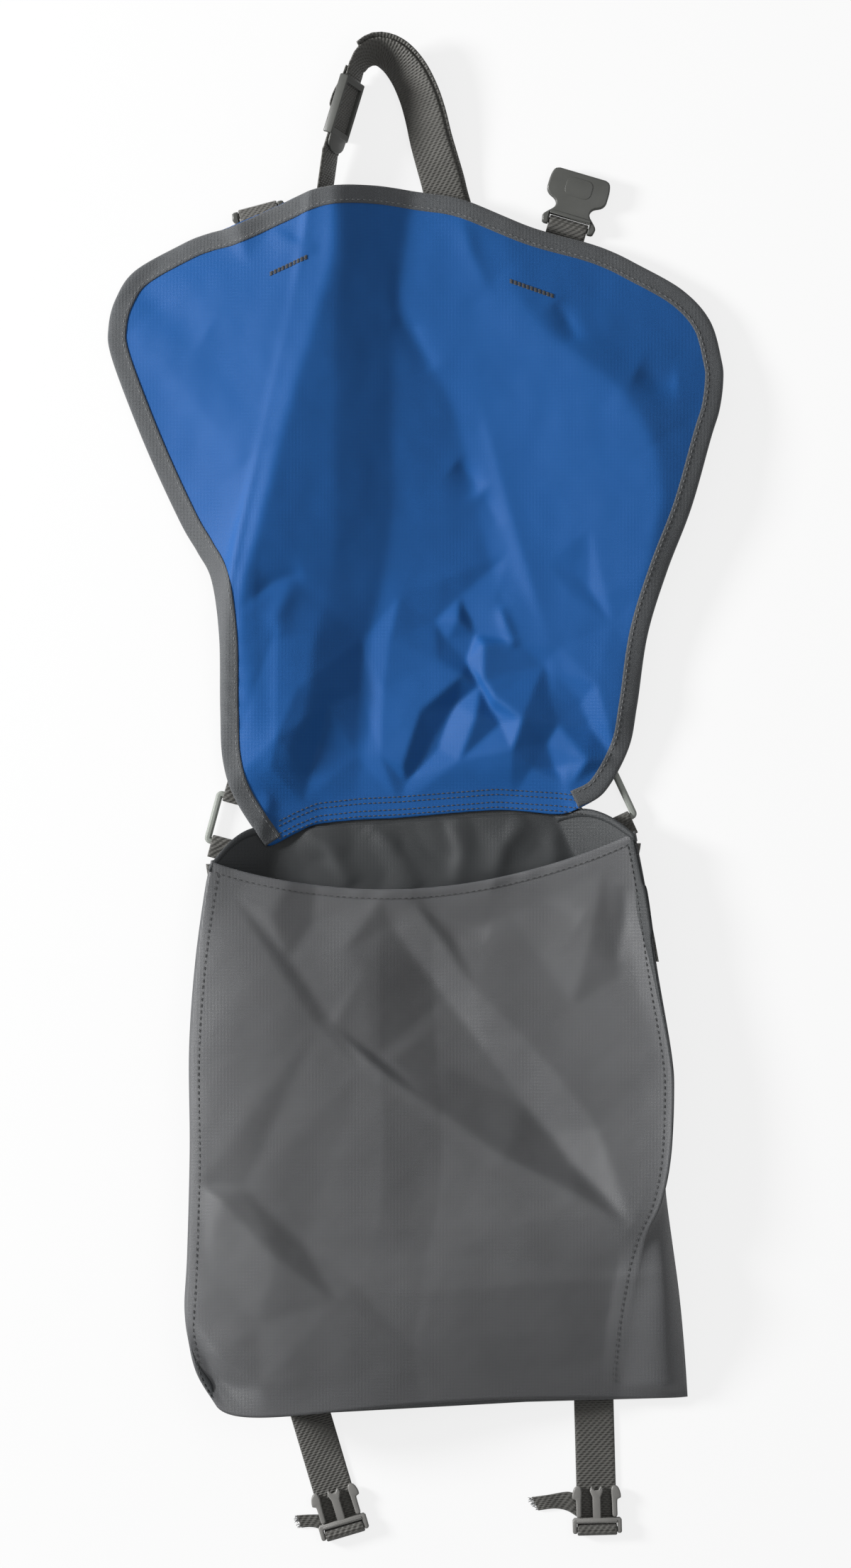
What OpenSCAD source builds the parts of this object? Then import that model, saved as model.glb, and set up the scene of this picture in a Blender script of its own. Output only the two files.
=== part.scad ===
// Messenger bag lying open on its back: cloth body, lined flap, webbing straps and plastic buckles.
// +Z points up out of the front panel, +Y towards the tip of the open flap, +X to the right.
// The origin is the centre of the footprint, on the surface that the bag lies on.

/* [Body] */
// Width of the front panel at the mouth
mouth_w = 266; // [250:1:280]
// Length of the front panel from mouth corner to bottom seam, on the left
front_h = 328; // [310:1:345]
// Height of the mouth corners above the surface
mouth_depth = 24; // [23:0.5:30]
// Height of the bottom seam above the surface
base_depth = 36; // [30:0.5:44]
// How far the middle of the front panel hangs below its edges at the mouth
front_sag = 9; // [4:0.5:10]
// How far the front panel swells above its edges at the bottom
front_swell = 9; // [4:0.5:10]
// Height of the right bottom corner, where the gusset lies nearly flat
low_corner_z = 9; // [7:0.5:16]
// How far the middle of the front hem dips towards the bottom
hem_dip = 27; // [15:1:35]
// Width of the turned hem along the mouth
hem_w = 7; // [5:0.5:10]
// Height of the rounded top of each gusset
gusset_dome = 11; // [8:1:11]
// Thickness of the body cloth
cloth_t = 1.2; // [0.8:0.1:1.4]

/* [Flap] */
// Length of the flap from its fold to the middle of its tip
flap_l = 396; // [385:1:400]
// Widest measure across the flap
flap_w = 387; // [375:1:395]
// Width of the tape that binds the edge of the flap
binding_w = 11.5; // [9:0.5:13]
// Thickness of the outer cloth of the flap
shell_t = 1.0; // [0.6:0.1:1.2]
// Thickness of the lining of the flap
lining_t = 0.8; // [0.5:0.1:1]

/* [Webbing] */
// Width of the webbing
web_w = 25; // [24:0.1:25]
// Thickness of the webbing
web_t = 1.6; // [1.2:0.1:1.6]
// Length of the left closure strap from the bottom seam to its buckle bar
left_strap_l = 78.5; // [74:0.5:84]
// Length of the right closure strap from the bottom seam to its buckle bar
right_strap_l = 82.5; // [78:0.5:88]
// Length of the webbing sewn down each gusset
tab_l = 74; // [60:1:85]

/* [Plastic fittings] */
// Diameter of the bars of the strap rings
ring_bar_d = 4.2; // [3.6:0.1:4.4]
// Distance between the two cross bars of a strap ring
ring_l = 30; // [28:0.5:31]
// Length of the female half of a buckle
socket_l = 36; // [35:0.5:38]
// Width of the female half of a buckle across its wings
socket_w = 39; // [38.5:0.5:41]
// Thickness of the female half of a buckle
socket_t = 8; // [7.6:0.1:8.2]
// Length of the prongs of the male half of a buckle
prong_l = 18.5; // [17:0.5:20]
// Thickness of the male half of a buckle
male_t = 5; // [4.4:0.1:5.2]
// Length of the strap adjuster
adjuster_l = 38; // [34:0.5:39]

/* [Hidden] */
$fn = 32;

// Colours of the cloths and plastics
body_colour = "#56575a";
blue_colour = "#2a5aa8";
tape_colour = "#505455";
webbing_colour = "#4b4a45";
plastic_colour = "#5c5c57";
ring_colour = "#8a8d86";

// Gaps: between pieces that only lie together, between pieces that turn or slide
seat_gap = 0.3;
turn_gap = 0.3;
// A hem, tape or tab lies this far off the cloth that it is sewn to
sewn_gap = 0.2;

// The line of the mouth and of the flap's fold, as the bag lies
mouth_x = 4;
mouth_y = -18;
mouth_turn = 3;
function at_mouth(p) = [
    mouth_x + p[0] * cos(mouth_turn) - p[1] * sin(mouth_turn),
    mouth_y + p[0] * sin(mouth_turn) + p[1] * cos(mouth_turn)
];
function past_fold(p) = (p[1] - mouth_y) * cos(mouth_turn) - (p[0] - mouth_x) * sin(mouth_turn);

// ---------- helpers for cloth ----------

function mix(a, b, t) = a + (b - a) * t;
function flat(lists) = [for (l = lists) for (v = l) v];
function unit(v) = v / norm(v);

// A smooth curve through a few points: t runs from 0 at the first to 1 at the last
function curve(points, t) =
    let (
        last = len(points) - 1,
        k = min(floor(t * last), last - 1),
        f = t * last - k,
        a = points[max(k - 1, 0)],
        b = points[k],
        c = points[k + 1],
        d = points[min(k + 2, last)]
    )
    (2 * b + (c - a) * f + (2 * a - 5 * b + 4 * c - d) * f * f + (3 * b - a - 3 * c + d) * f * f * f) / 2;
function curve_points(points, count) = [for (i = [0 : count]) curve(points, i / count)];

// A patch filled in between four edges; left and right run from the low edge to the high one
function patch(left, right, low, high) =
    let (n = len(low) - 1, m = len(left) - 1)
    [for (j = [0 : m]) [for (i = [0 : n])
        let (u = i / n, v = j / m)
        mix(left[j], right[j], u) + mix(low[i], high[i], v)
            - mix(mix(low[0], low[n], u), mix(high[0], high[n], u), v)
    ]];

function raised(grid, h) = [for (row = grid) [for (p = row) [p[0], p[1], p[2] + h]]];
function shifted(grid, step) = [for (row = grid) [for (p = row) p + step]];

// A closed solid between two grids of points; keep(i, j) says which cells it has
module sheet(upper, lower, keep = function (i, j) true) {
    m = len(upper) - 1;
    n = len(upper[0]) - 1;
    count = (m + 1) * (n + 1);
    has = function (i, j) i >= 0 && j >= 0 && i < n && j < m && keep(i, j);
    at = function (i, j) j * (n + 1) + i;
    cells = [for (j = [0 : m - 1]) for (i = [0 : n - 1]) if (has(i, j)) [i, j]];
    wall = function (a, b) [[a + count, a, b], [a + count, b, b + count]];
    faces = flat([for (c = cells)
        let (
            a = at(c[0], c[1]),
            b = at(c[0] + 1, c[1]),
            d = at(c[0], c[1] + 1),
            e = at(c[0] + 1, c[1] + 1)
        )
        concat(
            [[a, d, e], [a, e, b], [a + count, e + count, d + count], [a + count, b + count, e + count]],
            has(c[0], c[1] - 1) ? [] : wall(a, b),
            has(c[0] + 1, c[1]) ? [] : wall(b, e),
            has(c[0], c[1] + 1) ? [] : wall(e, d),
            has(c[0] - 1, c[1]) ? [] : wall(d, a)
        )
    ]);
    polyhedron(concat(flat(upper), flat(lower)), faces, convexity = 6);
}

// ---------- helpers for webbing ----------

// A band along a route of [x, y, z, slant] stops: the outer edge of the band is lifted by the slant
function band_ahead(route, i) =
    let (
        a = route[max(i - 1, 0)],
        b = route[min(i + 1, len(route) - 1)]
    )
    unit([b[0] - a[0], b[1] - a[1], b[2] - a[2]]);
function band_across(route, i) =
    let (
        d = band_ahead(route, i),
        side = unit([-d[1], d[0], 0]),
        s = route[i][3]
    )
    unit(side * cos(s) + [0, 0, 1] * sin(s));
function band_grid(route, lift) = [
    for (edge = [-1, 1]) [
        for (i = [0 : len(route) - 1])
            let (w = band_across(route, i), up = cross(band_ahead(route, i), w))
            [route[i][0], route[i][1], route[i][2]] + w * edge * web_w / 2 + up * lift
    ]
];
module band(route, lift = 0) {
    sheet(band_grid(route, lift + web_t / 2), band_grid(route, lift - web_t / 2));
}

// A loop of webbing round a bar that lies along X, with its two layers leaving along -Y
module web_loop(bar_r, leg_l, leg_low, leg_rise = 0, plies = 2) {
    r = bar_r + turn_gap;
    rotate([90, 0, 90])
        linear_extrude(web_w, center = true)
            difference() {
                union() {
                    circle(r + web_t);
                    rotate(-leg_rise)
                        translate([-leg_l, leg_low])
                            square([leg_l, plies * web_t]);
                }
                circle(r);
            }
}

// ---------- outline of the body as it lies ----------

// Each edge: share of the way down, and how far it stands outside half the mouth's width
front_left_swell = [[0, -5], [0.06, -1], [0.2, 5], [0.36, 8.5], [0.55, 8], [0.75, 9.5], [0.86, 11],
    [0.94, 6], [1, -6]];
front_right_swell = [[0, 4.5], [0.11, 12], [0.24, 18.5], [0.39, 27.5], [0.46, 29], [0.57, 27], [0.65, 21],
    [0.72, 10], [0.85, 1], [1, -5]];
back_left_swell = [[0, -50], [0.25, -27], [0.5, -13], [0.75, -8], [0.9, -9], [1, -18]];
back_right_swell = [[0, -46], [0.25, -6], [0.5, 18], [0.68, 26.5], [0.82, 33.5], [0.92, 37], [1, 39]];

// Where the mouth corners and the bottom corners lie
left_corner_y = -44;
right_corner_y = -25.5;
left_end_y = left_corner_y - front_h;
right_end_y = left_end_y - 11;
back_left_y = -24;
back_right_y = -13.5;
bottom_bulge = 20;
body_rows = 14;
body_cols = 12;

function edge_x(side, swell, s) = side * (mouth_w / 2 + lookup(s, swell));
function front_left(s) = [edge_x(-1, front_left_swell, s), mix(left_corner_y, left_end_y, s)];
function front_right(s) = [edge_x(1, front_right_swell, s), mix(right_corner_y, right_end_y, s)];
function back_left(s) = [edge_x(-1, back_left_swell, s), mix(back_left_y, left_end_y, s)];
function back_right(s) = [edge_x(1, back_right_swell, s), mix(back_right_y, right_end_y, s)];
// Share of the way from the mouth's height to the base's, down each side seam
left_seam_rise = [[0, 0], [1, 1]];
right_seam_rise = [[0, 0], [0.5, 0.56], [0.72, 0.85], [0.85, 0.25]];
function front_edge_z(side, s) =
    side > 0 && s > 0.85 ?
        mix(mix(mouth_depth, base_depth, lookup(1, right_seam_rise)), low_corner_z, (s - 0.85) / 0.15) :
        mix(mouth_depth, base_depth, lookup(s, side < 0 ? left_seam_rise : right_seam_rise));
// The bottom seam bows down most just inside the left corner
function bottom_bow(u) = bottom_bulge * sin(180 * pow(u, 0.35)) * (1 - u);
function hem_y(u) = mix(left_corner_y, right_corner_y, u) - hem_dip * pow(sin(180 * u), 0.8);

// Shares down each panel, from the bottom seam up, and across it
down_shares = [for (k = [0 : body_rows]) 1 - k / body_rows];
across_shares = [for (k = [0 : body_cols]) k / body_cols];

back_outline =
    patch(
        [for (s = down_shares) back_left(s)],
        [for (s = down_shares) back_right(s)],
        [for (u = across_shares) mix(back_left(1), back_right(1), u) - [0, bottom_bow(u)]],
        [for (u = across_shares) mix(back_left(0), back_right(0), u)]
    );
front_outline =
    patch(
        [for (s = down_shares) front_left(s)],
        [for (s = down_shares) front_right(s)],
        [for (u = across_shares) mix(front_left(1), front_right(1), u) - [0, bottom_bow(u)]],
        [for (u = across_shares) [mix(front_left(0)[0], front_right(0)[0], u), hem_y(u)]]
    );
// The front panel hangs between its edges at the mouth and swells over what holds it up below
front_grid = [for (j = [0 : body_rows]) [for (i = [0 : body_cols])
    let (s = down_shares[j], u = across_shares[i])
    [front_outline[j][i][0], front_outline[j][i][1],
        mix(front_edge_z(-1, s), front_edge_z(1, s), u)
            - front_sag * pow(sin(180 * u), 0.7) * (1 - s) + front_swell * sin(180 * pow(u, 0.8)) * s]
]];

module back_panel() {
    color(body_colour)
        sheet(
            [for (row = back_outline) [for (p = row) [p[0], p[1], cloth_t]]],
            [for (row = back_outline) [for (p = row) [p[0], p[1], 0]]]
        );
}

module front_panel() {
    color(body_colour)
        sheet(raised(front_grid, cloth_t), front_grid);
}

// The turned hem is a second layer under the front panel's top edge
hem_short = 0.2;
module front_hem() {
    top = body_rows;
    inner = [for (i = [0 : body_cols])
        let (
            a = front_grid[top][i],
            b = front_grid[top - 1][i],
            t = hem_w / norm(b - a)
        )
        mix(a, b, t)
    ];
    ends = function (row) [for (i = [0 : body_cols])
        i == 0 ? mix(row[0], row[1], hem_short) :
        i == body_cols ? mix(row[body_cols], row[body_cols - 1], hem_short) : row[i]
    ];
    band = raised([ends(inner), ends(front_grid[top])], -sewn_gap);
    color(body_colour)
        sheet(band, raised(band, -cloth_t));
}

// ---------- gussets ----------

gusset_cols = 6;
gusset_rows = 10;
gusset_end = 3;
edge_drop = 0.6;

// A point of a gusset and the way in from it: across runs from the front edge to the back edge, y down the side
function gusset_point(side, across, y) =
    let (
        front_top = side < 0 ? left_corner_y : right_corner_y,
        front_end = side < 0 ? left_end_y : right_end_y,
        back_top = side < 0 ? back_left_y : back_right_y,
        sf = min(max((y - front_top) / (front_end - front_top), 0), 1),
        sb = min(max((y - back_top) / (front_end - back_top), 0), 1),
        f = side < 0 ? front_left(sf) : front_right(sf),
        b = side < 0 ? back_left(sb) : back_right(sb),
        top = front_edge_z(side, sf) - edge_drop,
        low = cloth_t + seat_gap,
        n = side * [low - top, f[0] - b[0]] / norm([low - top, f[0] - b[0]])
    )
    // the cloth is laid inwards from here, so its edges stay clear of the panels
    [[mix(f[0], b[0], across), y, mix(top - cloth_t * max(0, n[1]), low + cloth_t * max(0, -n[1]), across)],
        [n[0], 0, n[1]]];
function gusset_top(side, across) =
    let (f = side < 0 ? left_corner_y : right_corner_y, b = side < 0 ? back_left_y : back_right_y)
    mix(f - 2, b - 2, across) + (gusset_dome - (side > 0 ? 2 : 0)) * sin(180 * across);
function gusset_low(side) = (side < 0 ? left_end_y : right_end_y) + gusset_end;

module gusset(side) {
    // columns run towards +X on either side, so that the faces point outwards
    outer = [for (j = [0 : gusset_rows]) [for (i = [0 : gusset_cols])
        let (a = side < 0 ? i / gusset_cols : 1 - i / gusset_cols)
        gusset_point(side, a, mix(gusset_low(side), gusset_top(side, a), j / gusset_rows))
    ]];
    sheet(
        [for (row = outer) [for (p = row) p[0] + p[1] * cloth_t]],
        [for (row = outer) [for (p = row) p[0]]]
    );
}

module left_gusset() {
    color(body_colour)
        gusset(-1);
}

module right_gusset() {
    color(body_colour)
        gusset(1);
}

// The bottom panel stands between the two bottom seams
module bottom_panel() {
    top = [for (p = front_grid[0]) p + [0, 0, -seat_gap]];
    low = [for (p = back_outline[0]) [p[0], p[1], cloth_t + seat_gap]];
    ends = 0.995;
    trim = function (row) [for (i = [0 : body_cols]) i == 0 ? mix(row[1], row[0], ends) :
        i == body_cols ? mix(row[body_cols - 1], row[body_cols], ends) : row[i]];
    outer = [trim(low), trim(top)];
    color(body_colour)
        sheet(outer, shifted(outer, [0, cloth_t, 0]));
}

// ---------- shoulder strap and its rings ----------

loop_z = ring_bar_d / 2 + turn_gap + web_t + 0.1;
ring_in_w = web_w + 0.8;
ring_out_w = ring_in_w + 2 * ring_bar_d;
ring_lean = [15, 25];
ring_low = [[-116.5, -35], [124.5, -21.8]];
// The strap with its rings swings about this line, in front of both tabs
swing_past = -20;
function ring_place(side) = ring_low[side < 0 ? 0 : 1];
function ring_turn(side) = side * ring_lean[side < 0 ? 0 : 1];
function ring_ahead(side) = let (a = ring_turn(side)) [-sin(a), cos(a)];
function ring_high(side) = ring_place(side) + ring_l * ring_ahead(side);

module at_ring(side) {
    p = ring_place(side);
    translate([p[0], p[1], loop_z])
        rotate([0, 0, ring_turn(side)])
            children();
}

module ring(side) {
    r = ring_bar_d / 2;
    at_ring(side)
        difference() {
            translate([0, ring_l / 2, 0])
                linear_extrude(ring_bar_d, center = true)
                    difference() {
                        rounded_rect(ring_out_w, ring_l + ring_bar_d, 3.4);
                        rounded_rect(ring_in_w, ring_l - ring_bar_d, 0.3);
                    }
            // the cross bars are round where the webbing turns on them
            for (y = [0, ring_l])
                translate([0, y, 0])
                    rotate([0, 90, 0])
                        difference() {
                            cube([2 * ring_bar_d, ring_bar_d + 0.02, web_w + 0.4], center = true);
                            cylinder(h = web_w + 1, r = r, center = true);
                        }
        }
}

module rounded_rect(w, l, r) {
    square([w - 2 * r, l], center = true);
    square([w, l - 2 * r], center = true);
    for (x = [-1, 1], y = [-1, 1])
        translate([x * (w / 2 - r), y * (l / 2 - r)])
            circle(r);
}

module left_ring() {
    color(ring_colour)
        ring(-1);
}

module right_ring() {
    color(ring_colour)
        ring(1);
}

// The loop that holds a ring: it folds over from the sewn tab along the swing line
module ring_loop(side) {
    wide = 3 * web_w;
    p = ring_place(side);
    difference() {
        at_ring(side)
            web_loop(ring_bar_d / 2, 3 * web_w, -web_t);
        translate([mouth_x, mouth_y, loop_z])
            rotate([0, 0, mouth_turn])
                translate([p[0] - mouth_x - wide, swing_past - 4 * web_w, -wide / 2])
                    cube([2 * wide, 4 * web_w, wide]);
    }
    // the round fold on the swing line
    intersection() {
        translate([mouth_x, mouth_y, loop_z])
            rotate([0, 0, mouth_turn])
                translate([p[0] - mouth_x, swing_past, 0])
                    rotate([0, 90, 0])
                        cylinder(h = 2 * wide, r = web_t, center = true);
        at_ring(side)
            cube([web_w, 2 * wide, wide], center = true);
    }
}

module left_ring_loop() {
    color(webbing_colour)
        ring_loop(-1);
}

module right_ring_loop() {
    color(webbing_colour)
        ring_loop(1);
}

// The tab is sewn down the outside of a gusset and flattens out towards its loop
module ring_tab(side) {
    off = web_t / 2 + sewn_gap + 0.3;
    back = ring_turn(side);
    start = ring_place(side);
    d = ring_ahead(side);
    reach = (past_fold(start) - swing_past + web_t + turn_gap) / cos(back - mouth_turn);
    flat_start = start - d * reach;
    // stops down the gusset: share across its width, and distance below the swing line
    stops = [[0.40, 18], [0.36, 34], [0.34, 52], [0.34, tab_l]];
    far = [for (s = stops)
        let (
            y = flat_start[1] - s[1],
            a = gusset_point(side, 0, y)[0],
            b = gusset_point(side, 1, y)[0],
            c = gusset_point(side, s[0], y)[0],
            w = unit([b[0] - a[0], 0, b[2] - a[2]]),
            n = [w[2], 0, -w[0]] * (w[2] * side > 0 ? 1 : -1)
        )
        [c[0], y, c[2], w, n]
    ];
    near = [[flat_start[0], flat_start[1], loop_z, [-side, 0, 0], [0, 0, -1]]];
    all = concat([for (k = [len(far) - 1 : -1 : 0])
        let (p = far[k])
        [p[0] + p[4][0] * off, p[1], p[2] + p[4][2] * off, p[3], p[4]]], near);
    grid = function (lift) [for (e = [0, 1])
        [for (p = all)
            let (half = web_w / 2 * (2 * e - 1) * -side)
            [p[0], p[1], p[2]] + p[3] * half + p[4] * lift]
    ];
    // the end at the fold runs along the swing line
    difference() {
        sheet(grid(web_t / 2), grid(-web_t / 2));
        translate([mouth_x, mouth_y, loop_z])
            rotate([0, 0, mouth_turn])
                translate([0, swing_past - web_t - turn_gap + 2 * web_w, 0])
                    cube([4 * web_w + 2 * mouth_w, 4 * web_w, 8 * web_w], center = true);
    }
}

module left_ring_tab() {
    color(webbing_colour)
        ring_tab(-1);
}

module right_ring_tab() {
    color(webbing_colour)
        ring_tab(1);
}

// ---------- the strap itself ----------

strap_leg = 20;
// Stops of the strap from the left ring round to the right one: x, y, slant, extra lift
left_run = [
    [-101.5, 24, 8, 0], [-100.5, 45, 22, 0], [-101, 75, 38, 0], [-102, 105, 50, 0], [-101.5, 135, 58, 0],
    [-98, 165, 65, 0], [-92, 200, 70, 0], [-84, 235, 70, 0], [-76.5, 268, 70, 0], [-69, 302, 70, 0],
    [-62, 340, 70, 0], [-57.5, 372, 70, 1.5], [-53.5, 400, 70, 3.8]
];
run_end = [-37, 454];
right_run = [
    [-32, 461.5, 62, 2], [-24, 465, 52, 0], [-14.5, 461.5, 42, 0], [-6, 452, 34, 0], [0.5, 439, 28, 0],
    [5, 425, 23, 0], [8.5, 410, 19, 0], [12.5, 396, 14, 0], [16, 384, 10, 0], [19, 372, 8, 0],
    [26.6, 346, 6, 0], [36.8, 301, 6, 0], [48, 256.7, 6, 0], [59, 212, 8, 0], [71.2, 167.4, 8, 0],
    [84.6, 122.8, 8, 0], [96.5, 80, 6, 0], [97.5, 52, 3, 0]
];
strap_low = 0.3;
ply_step = web_t + sewn_gap;
function strap_stop(s, plies) = [
    s[0], s[1],
    strap_low + s[3] + web_w / 2 * sin(s[2]) + (web_t / 2 + (plies - 1) * ply_step) * cos(s[2]),
    s[2]
];
function leg_end(side, past = 0.25) = ring_high(side) + (strap_leg + past) * ring_ahead(side);
run_start = let (s = left_run[len(left_run) - 1]) [s[0], s[1]];
run_dir = unit(run_end - run_start);
run_slant = left_run[len(left_run) - 1][2];
run_lift = left_run[len(left_run) - 1][3];
function on_run(t) = let (p = run_start + t * run_dir) [p[0], p[1], run_slant, run_lift];
run_l = norm(run_end - run_start);
single_stops = concat(
    [[each leg_end(-1), 0, 0], [each leg_end(-1, 5), 0, 0]],
    left_run,
    [on_run(3), on_run(run_l - 3), on_run(run_l)]
);
double_stops = concat(right_run, [[each leg_end(1, 5), 0, 0], [each leg_end(1), 0, 0]]);
strap_route = concat(
    [for (s = single_stops) strap_stop(s, 1)],
    [for (s = double_stops) strap_stop(s, 2)]
);
return_route = [for (s = double_stops) strap_stop(s, 2)];

module shoulder_strap() {
    color(webbing_colour)
        band(strap_route);
}

module strap_return() {
    color(webbing_colour)
        band(return_route, -ply_step);
}

// The end of the strap is folded round a ring and sewn to itself
module strap_end(side) {
    at_ring(side)
        translate([0, ring_l, 0])
            rotate([0, 0, 180])
                web_loop(ring_bar_d / 2, strap_leg, -ring_bar_d / 2 - turn_gap - web_t);
}

module left_strap_end() {
    color(webbing_colour)
        strap_end(-1);
}

module right_strap_end() {
    color(webbing_colour)
        strap_end(1);
}

// The adjuster slides on the straight part of the strap: two bars above the webbing, one below
adjuster_at = 30;
rail_w = 2.4;
bar_t = 1.8;
module strap_adjuster() {
    c = strap_stop(on_run(adjuster_at), 1);
    ahead = [run_dir[0], run_dir[1], 0];
    across = [-run_dir[1] * cos(run_slant), run_dir[0] * cos(run_slant), sin(run_slant)];
    up = cross(ahead, across);
    inside = web_w / 2 + turn_gap;
    over = web_t / 2 + turn_gap;
    color(plastic_colour)
        multmatrix([
            [ahead[0], across[0], up[0], c[0]],
            [ahead[1], across[1], up[1], c[1]],
            [ahead[2], across[2], up[2], c[2]],
            [0, 0, 0, 1]
        ]) {
            for (y = [-1, 1])
                translate([-adjuster_l / 2, y * (inside + rail_w / 2) - rail_w / 2, -over - bar_t])
                    cube([adjuster_l, rail_w, 2 * (over + bar_t)]);
            for (x = [-adjuster_l / 2, adjuster_l / 2 - 4.5])
                translate([x, -inside - rail_w / 2, over])
                    cube([4.5, 2 * inside + rail_w, bar_t]);
            translate([-2.2, -inside - rail_w / 2, -over - bar_t])
                cube([4.4, 2 * inside + rail_w, bar_t]);
        }
}

// ---------- flap ----------

// Outline of the flap from its root up each side, and across its tip
flap_left = [
    [-113, -6], [-121, 19], [-122.5, 51], [-123, 96], [-128, 132], [-137, 150], [-147, 167], [-164, 203],
    [-179, 239], [-192, 275], [-193.5, 292], [-189, 310], [-176.6, 328], [-146, 345]
];
flap_right = [
    [119, -1], [134, 26], [139.5, 54], [146, 98], [158, 137.5], [173, 177], [185.5, 221], [191, 239],
    [193.5, 257], [192.6, 270.5], [185.5, 295.5], [168, 315], [138, 332]
];
flap_tip = [
    [-114, 355], [-86, 367], [-60, 377], [-27, 379.5], [5.6, 376], [31.5, 371], [72.5, 354.5], [107, 345]
];
flap_corners = [[-130.5, 350.8], [122.8, 339.5]];
root_half = 100;
flap_rows = 22;
flap_cols = 22;

// The outline scales with the flap's length and width
drawn_l = 396;
drawn_w = 387;
function sized(p) = [p[0] * flap_w / drawn_w, mouth_y + (p[1] - mouth_y) * flap_l / drawn_l];
side_lines = [for (side = [-1, 1])
    concat(
        [at_mouth([side * root_half, seat_gap])],
        [for (p = side < 0 ? flap_left : flap_right) sized(p)]
    )
];
outer_sides = [for (line = side_lines) curve_points(line, flap_rows)];
outer_tip = curve_points([for (p = flap_tip) sized(p)], flap_cols);
outer_corners = [for (p = flap_corners) sized(p)];

// A line moved sideways by the width of the binding
function moved_in(line, by) = [for (k = [0 : len(line) - 1])
    let (d = unit(line[min(k + 1, len(line) - 1)] - line[max(k - 1, 0)]))
    line[k] + by * [-d[1], d[0]]
];
inner_corners = [
    outer_corners[0] + binding_w * unit([0.32, -0.95]),
    outer_corners[1] + binding_w * unit([-0.4, -0.92])
];
function closed_to(line, from, to) = [for (k = [0 : len(line) - 1])
    k == 0 ? from : k == len(line) - 1 ? to : line[k]];
root_in = [for (side = [-1, 1]) at_mouth([side * (root_half - binding_w), seat_gap])];
inner_left = closed_to(moved_in(outer_sides[0], -binding_w), root_in[0], inner_corners[0]);
inner_right = closed_to(moved_in(outer_sides[1], binding_w), root_in[1], inner_corners[1]);
inner_tip = closed_to(moved_in(outer_tip, -binding_w), inner_corners[0], inner_corners[1]);
inner_root = [for (i = [0 : flap_cols]) mix(root_in[0], root_in[1], i / flap_cols)];
inner_plan = patch(inner_left, inner_right, inner_root, inner_tip);

// ---------- what the flap lies over ----------

// The buckles' bars stand just past the flap's edge, so they move with its size
left_bar = [each sized([-98.9, 365.6]), 4.3];
right_bar = [each sized([96.3, 356.3]), 4.8];
left_bar_turn = 194.9;
right_bar_turn = -16.4;
bar_r = 1.75;
tab_in = 28;
left_tab_in = 17;
tape_over = 0.35;
left_tab_z = 15.4;
right_tab_z = 4.4;
drape_room = 3;
drape_slope = 0.75;
drape_reach = 9;

// Height of the flap's underside wanted near a line from a to b, each [x, y, height, half width]
function near_line(p, a, b) =
    let (
        ab = [b[0] - a[0], b[1] - a[1]],
        ap = [p[0] - a[0], p[1] - a[1]],
        f = min(max((ap * ab) / (ab * ab), 0), 1),
        d = norm(ap - f * ab)
    )
    mix(a[2], b[2], f) - drape_slope * max(0, d - mix(a[3], b[3], f));
strap_tops = [for (r = strap_route)
    [r[0], r[1], r[2] + web_w / 2 * sin(r[3]) + web_t / 2 * cos(r[3]) + drape_room,
        web_w / 2 * cos(r[3]) + drape_reach]
];
function inward(turn) = [sin(turn), -cos(turn)];
left_in = -inward(left_bar_turn);
right_in = inward(right_bar_turn);
ring_top = loop_z + ring_bar_d / 2 + turn_gap + web_t + drape_room;
under_lines = concat(
    [for (k = [0 : len(strap_tops) - 2]) [strap_tops[k], strap_tops[k + 1]]],
    [for (side = [-1, 1]) [
        [each ring_place(side), ring_top, ring_out_w / 2 + 5],
        [each leg_end(side), ring_top - 1, ring_out_w / 2 + 3]
    ]],
    [[
        [left_bar[0], left_bar[1], left_tab_z, web_w / 2 + 26],
        [each ([left_bar[0], left_bar[1]] + 28 * left_in), left_tab_z, web_w / 2 + 26]
    ]],
    [[
        [right_bar[0], right_bar[1], right_tab_z, web_w / 2 + 26],
        [each ([right_bar[0], right_bar[1]] + 28 * right_in), right_tab_z, web_w / 2 + 26]
    ]]
);
flap_floor = 0.5;
function underside(p) = max(flap_floor, max([for (l = under_lines) near_line(p, l[0], l[1])]));
function draped(p) = [p[0], p[1], underside(p)];
inner_grid = [for (row = inner_plan) [for (p = row) draped(p)]];
flap_grid = concat(
    [for (j = [0 : flap_rows])
        concat([draped(outer_sides[0][j])], inner_grid[j], [draped(outer_sides[1][j])])],
    [concat([draped(outer_corners[0])], [for (p = outer_tip) draped(p)], [draped(outer_corners[1])])]
);

// The cloths stop just short of the binding's inner line: each edge point moves towards the next one in
function stopped_short(i, j) =
    let (
        next_i = min(max(i, 1), flap_cols - 1),
        next_j = min(j, flap_rows - 1),
        p = inner_grid[j][i],
        way_in = inner_grid[next_j][next_i] - p,
        at_corner = i != next_i && j != next_j
    )
    norm(way_in) == 0 ? p : p + unit(way_in) * seat_gap * (at_corner ? sqrt(2) : 1);
cloth_grid = [for (j = [0 : flap_rows]) [for (i = [0 : flap_cols]) stopped_short(i, j)]];
cloth_gap = seat_gap;
flap_t = lining_t + cloth_gap + shell_t;

module flap_lining() {
    color(body_colour)
        sheet(raised(cloth_grid, lining_t), cloth_grid);
}

module flap_shell() {
    color(blue_colour)
        sheet(raised(cloth_grid, flap_t), raised(cloth_grid, lining_t + cloth_gap));
}

module flap_binding() {
    color(tape_colour)
        sheet(
            raised(flap_grid, flap_t + tape_over),
            raised(flap_grid, -tape_over),
            function (i, j) i == 0 || i == flap_cols + 1 || j == flap_rows
        );
}

// ---------- female halves of the buckles ----------

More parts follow.
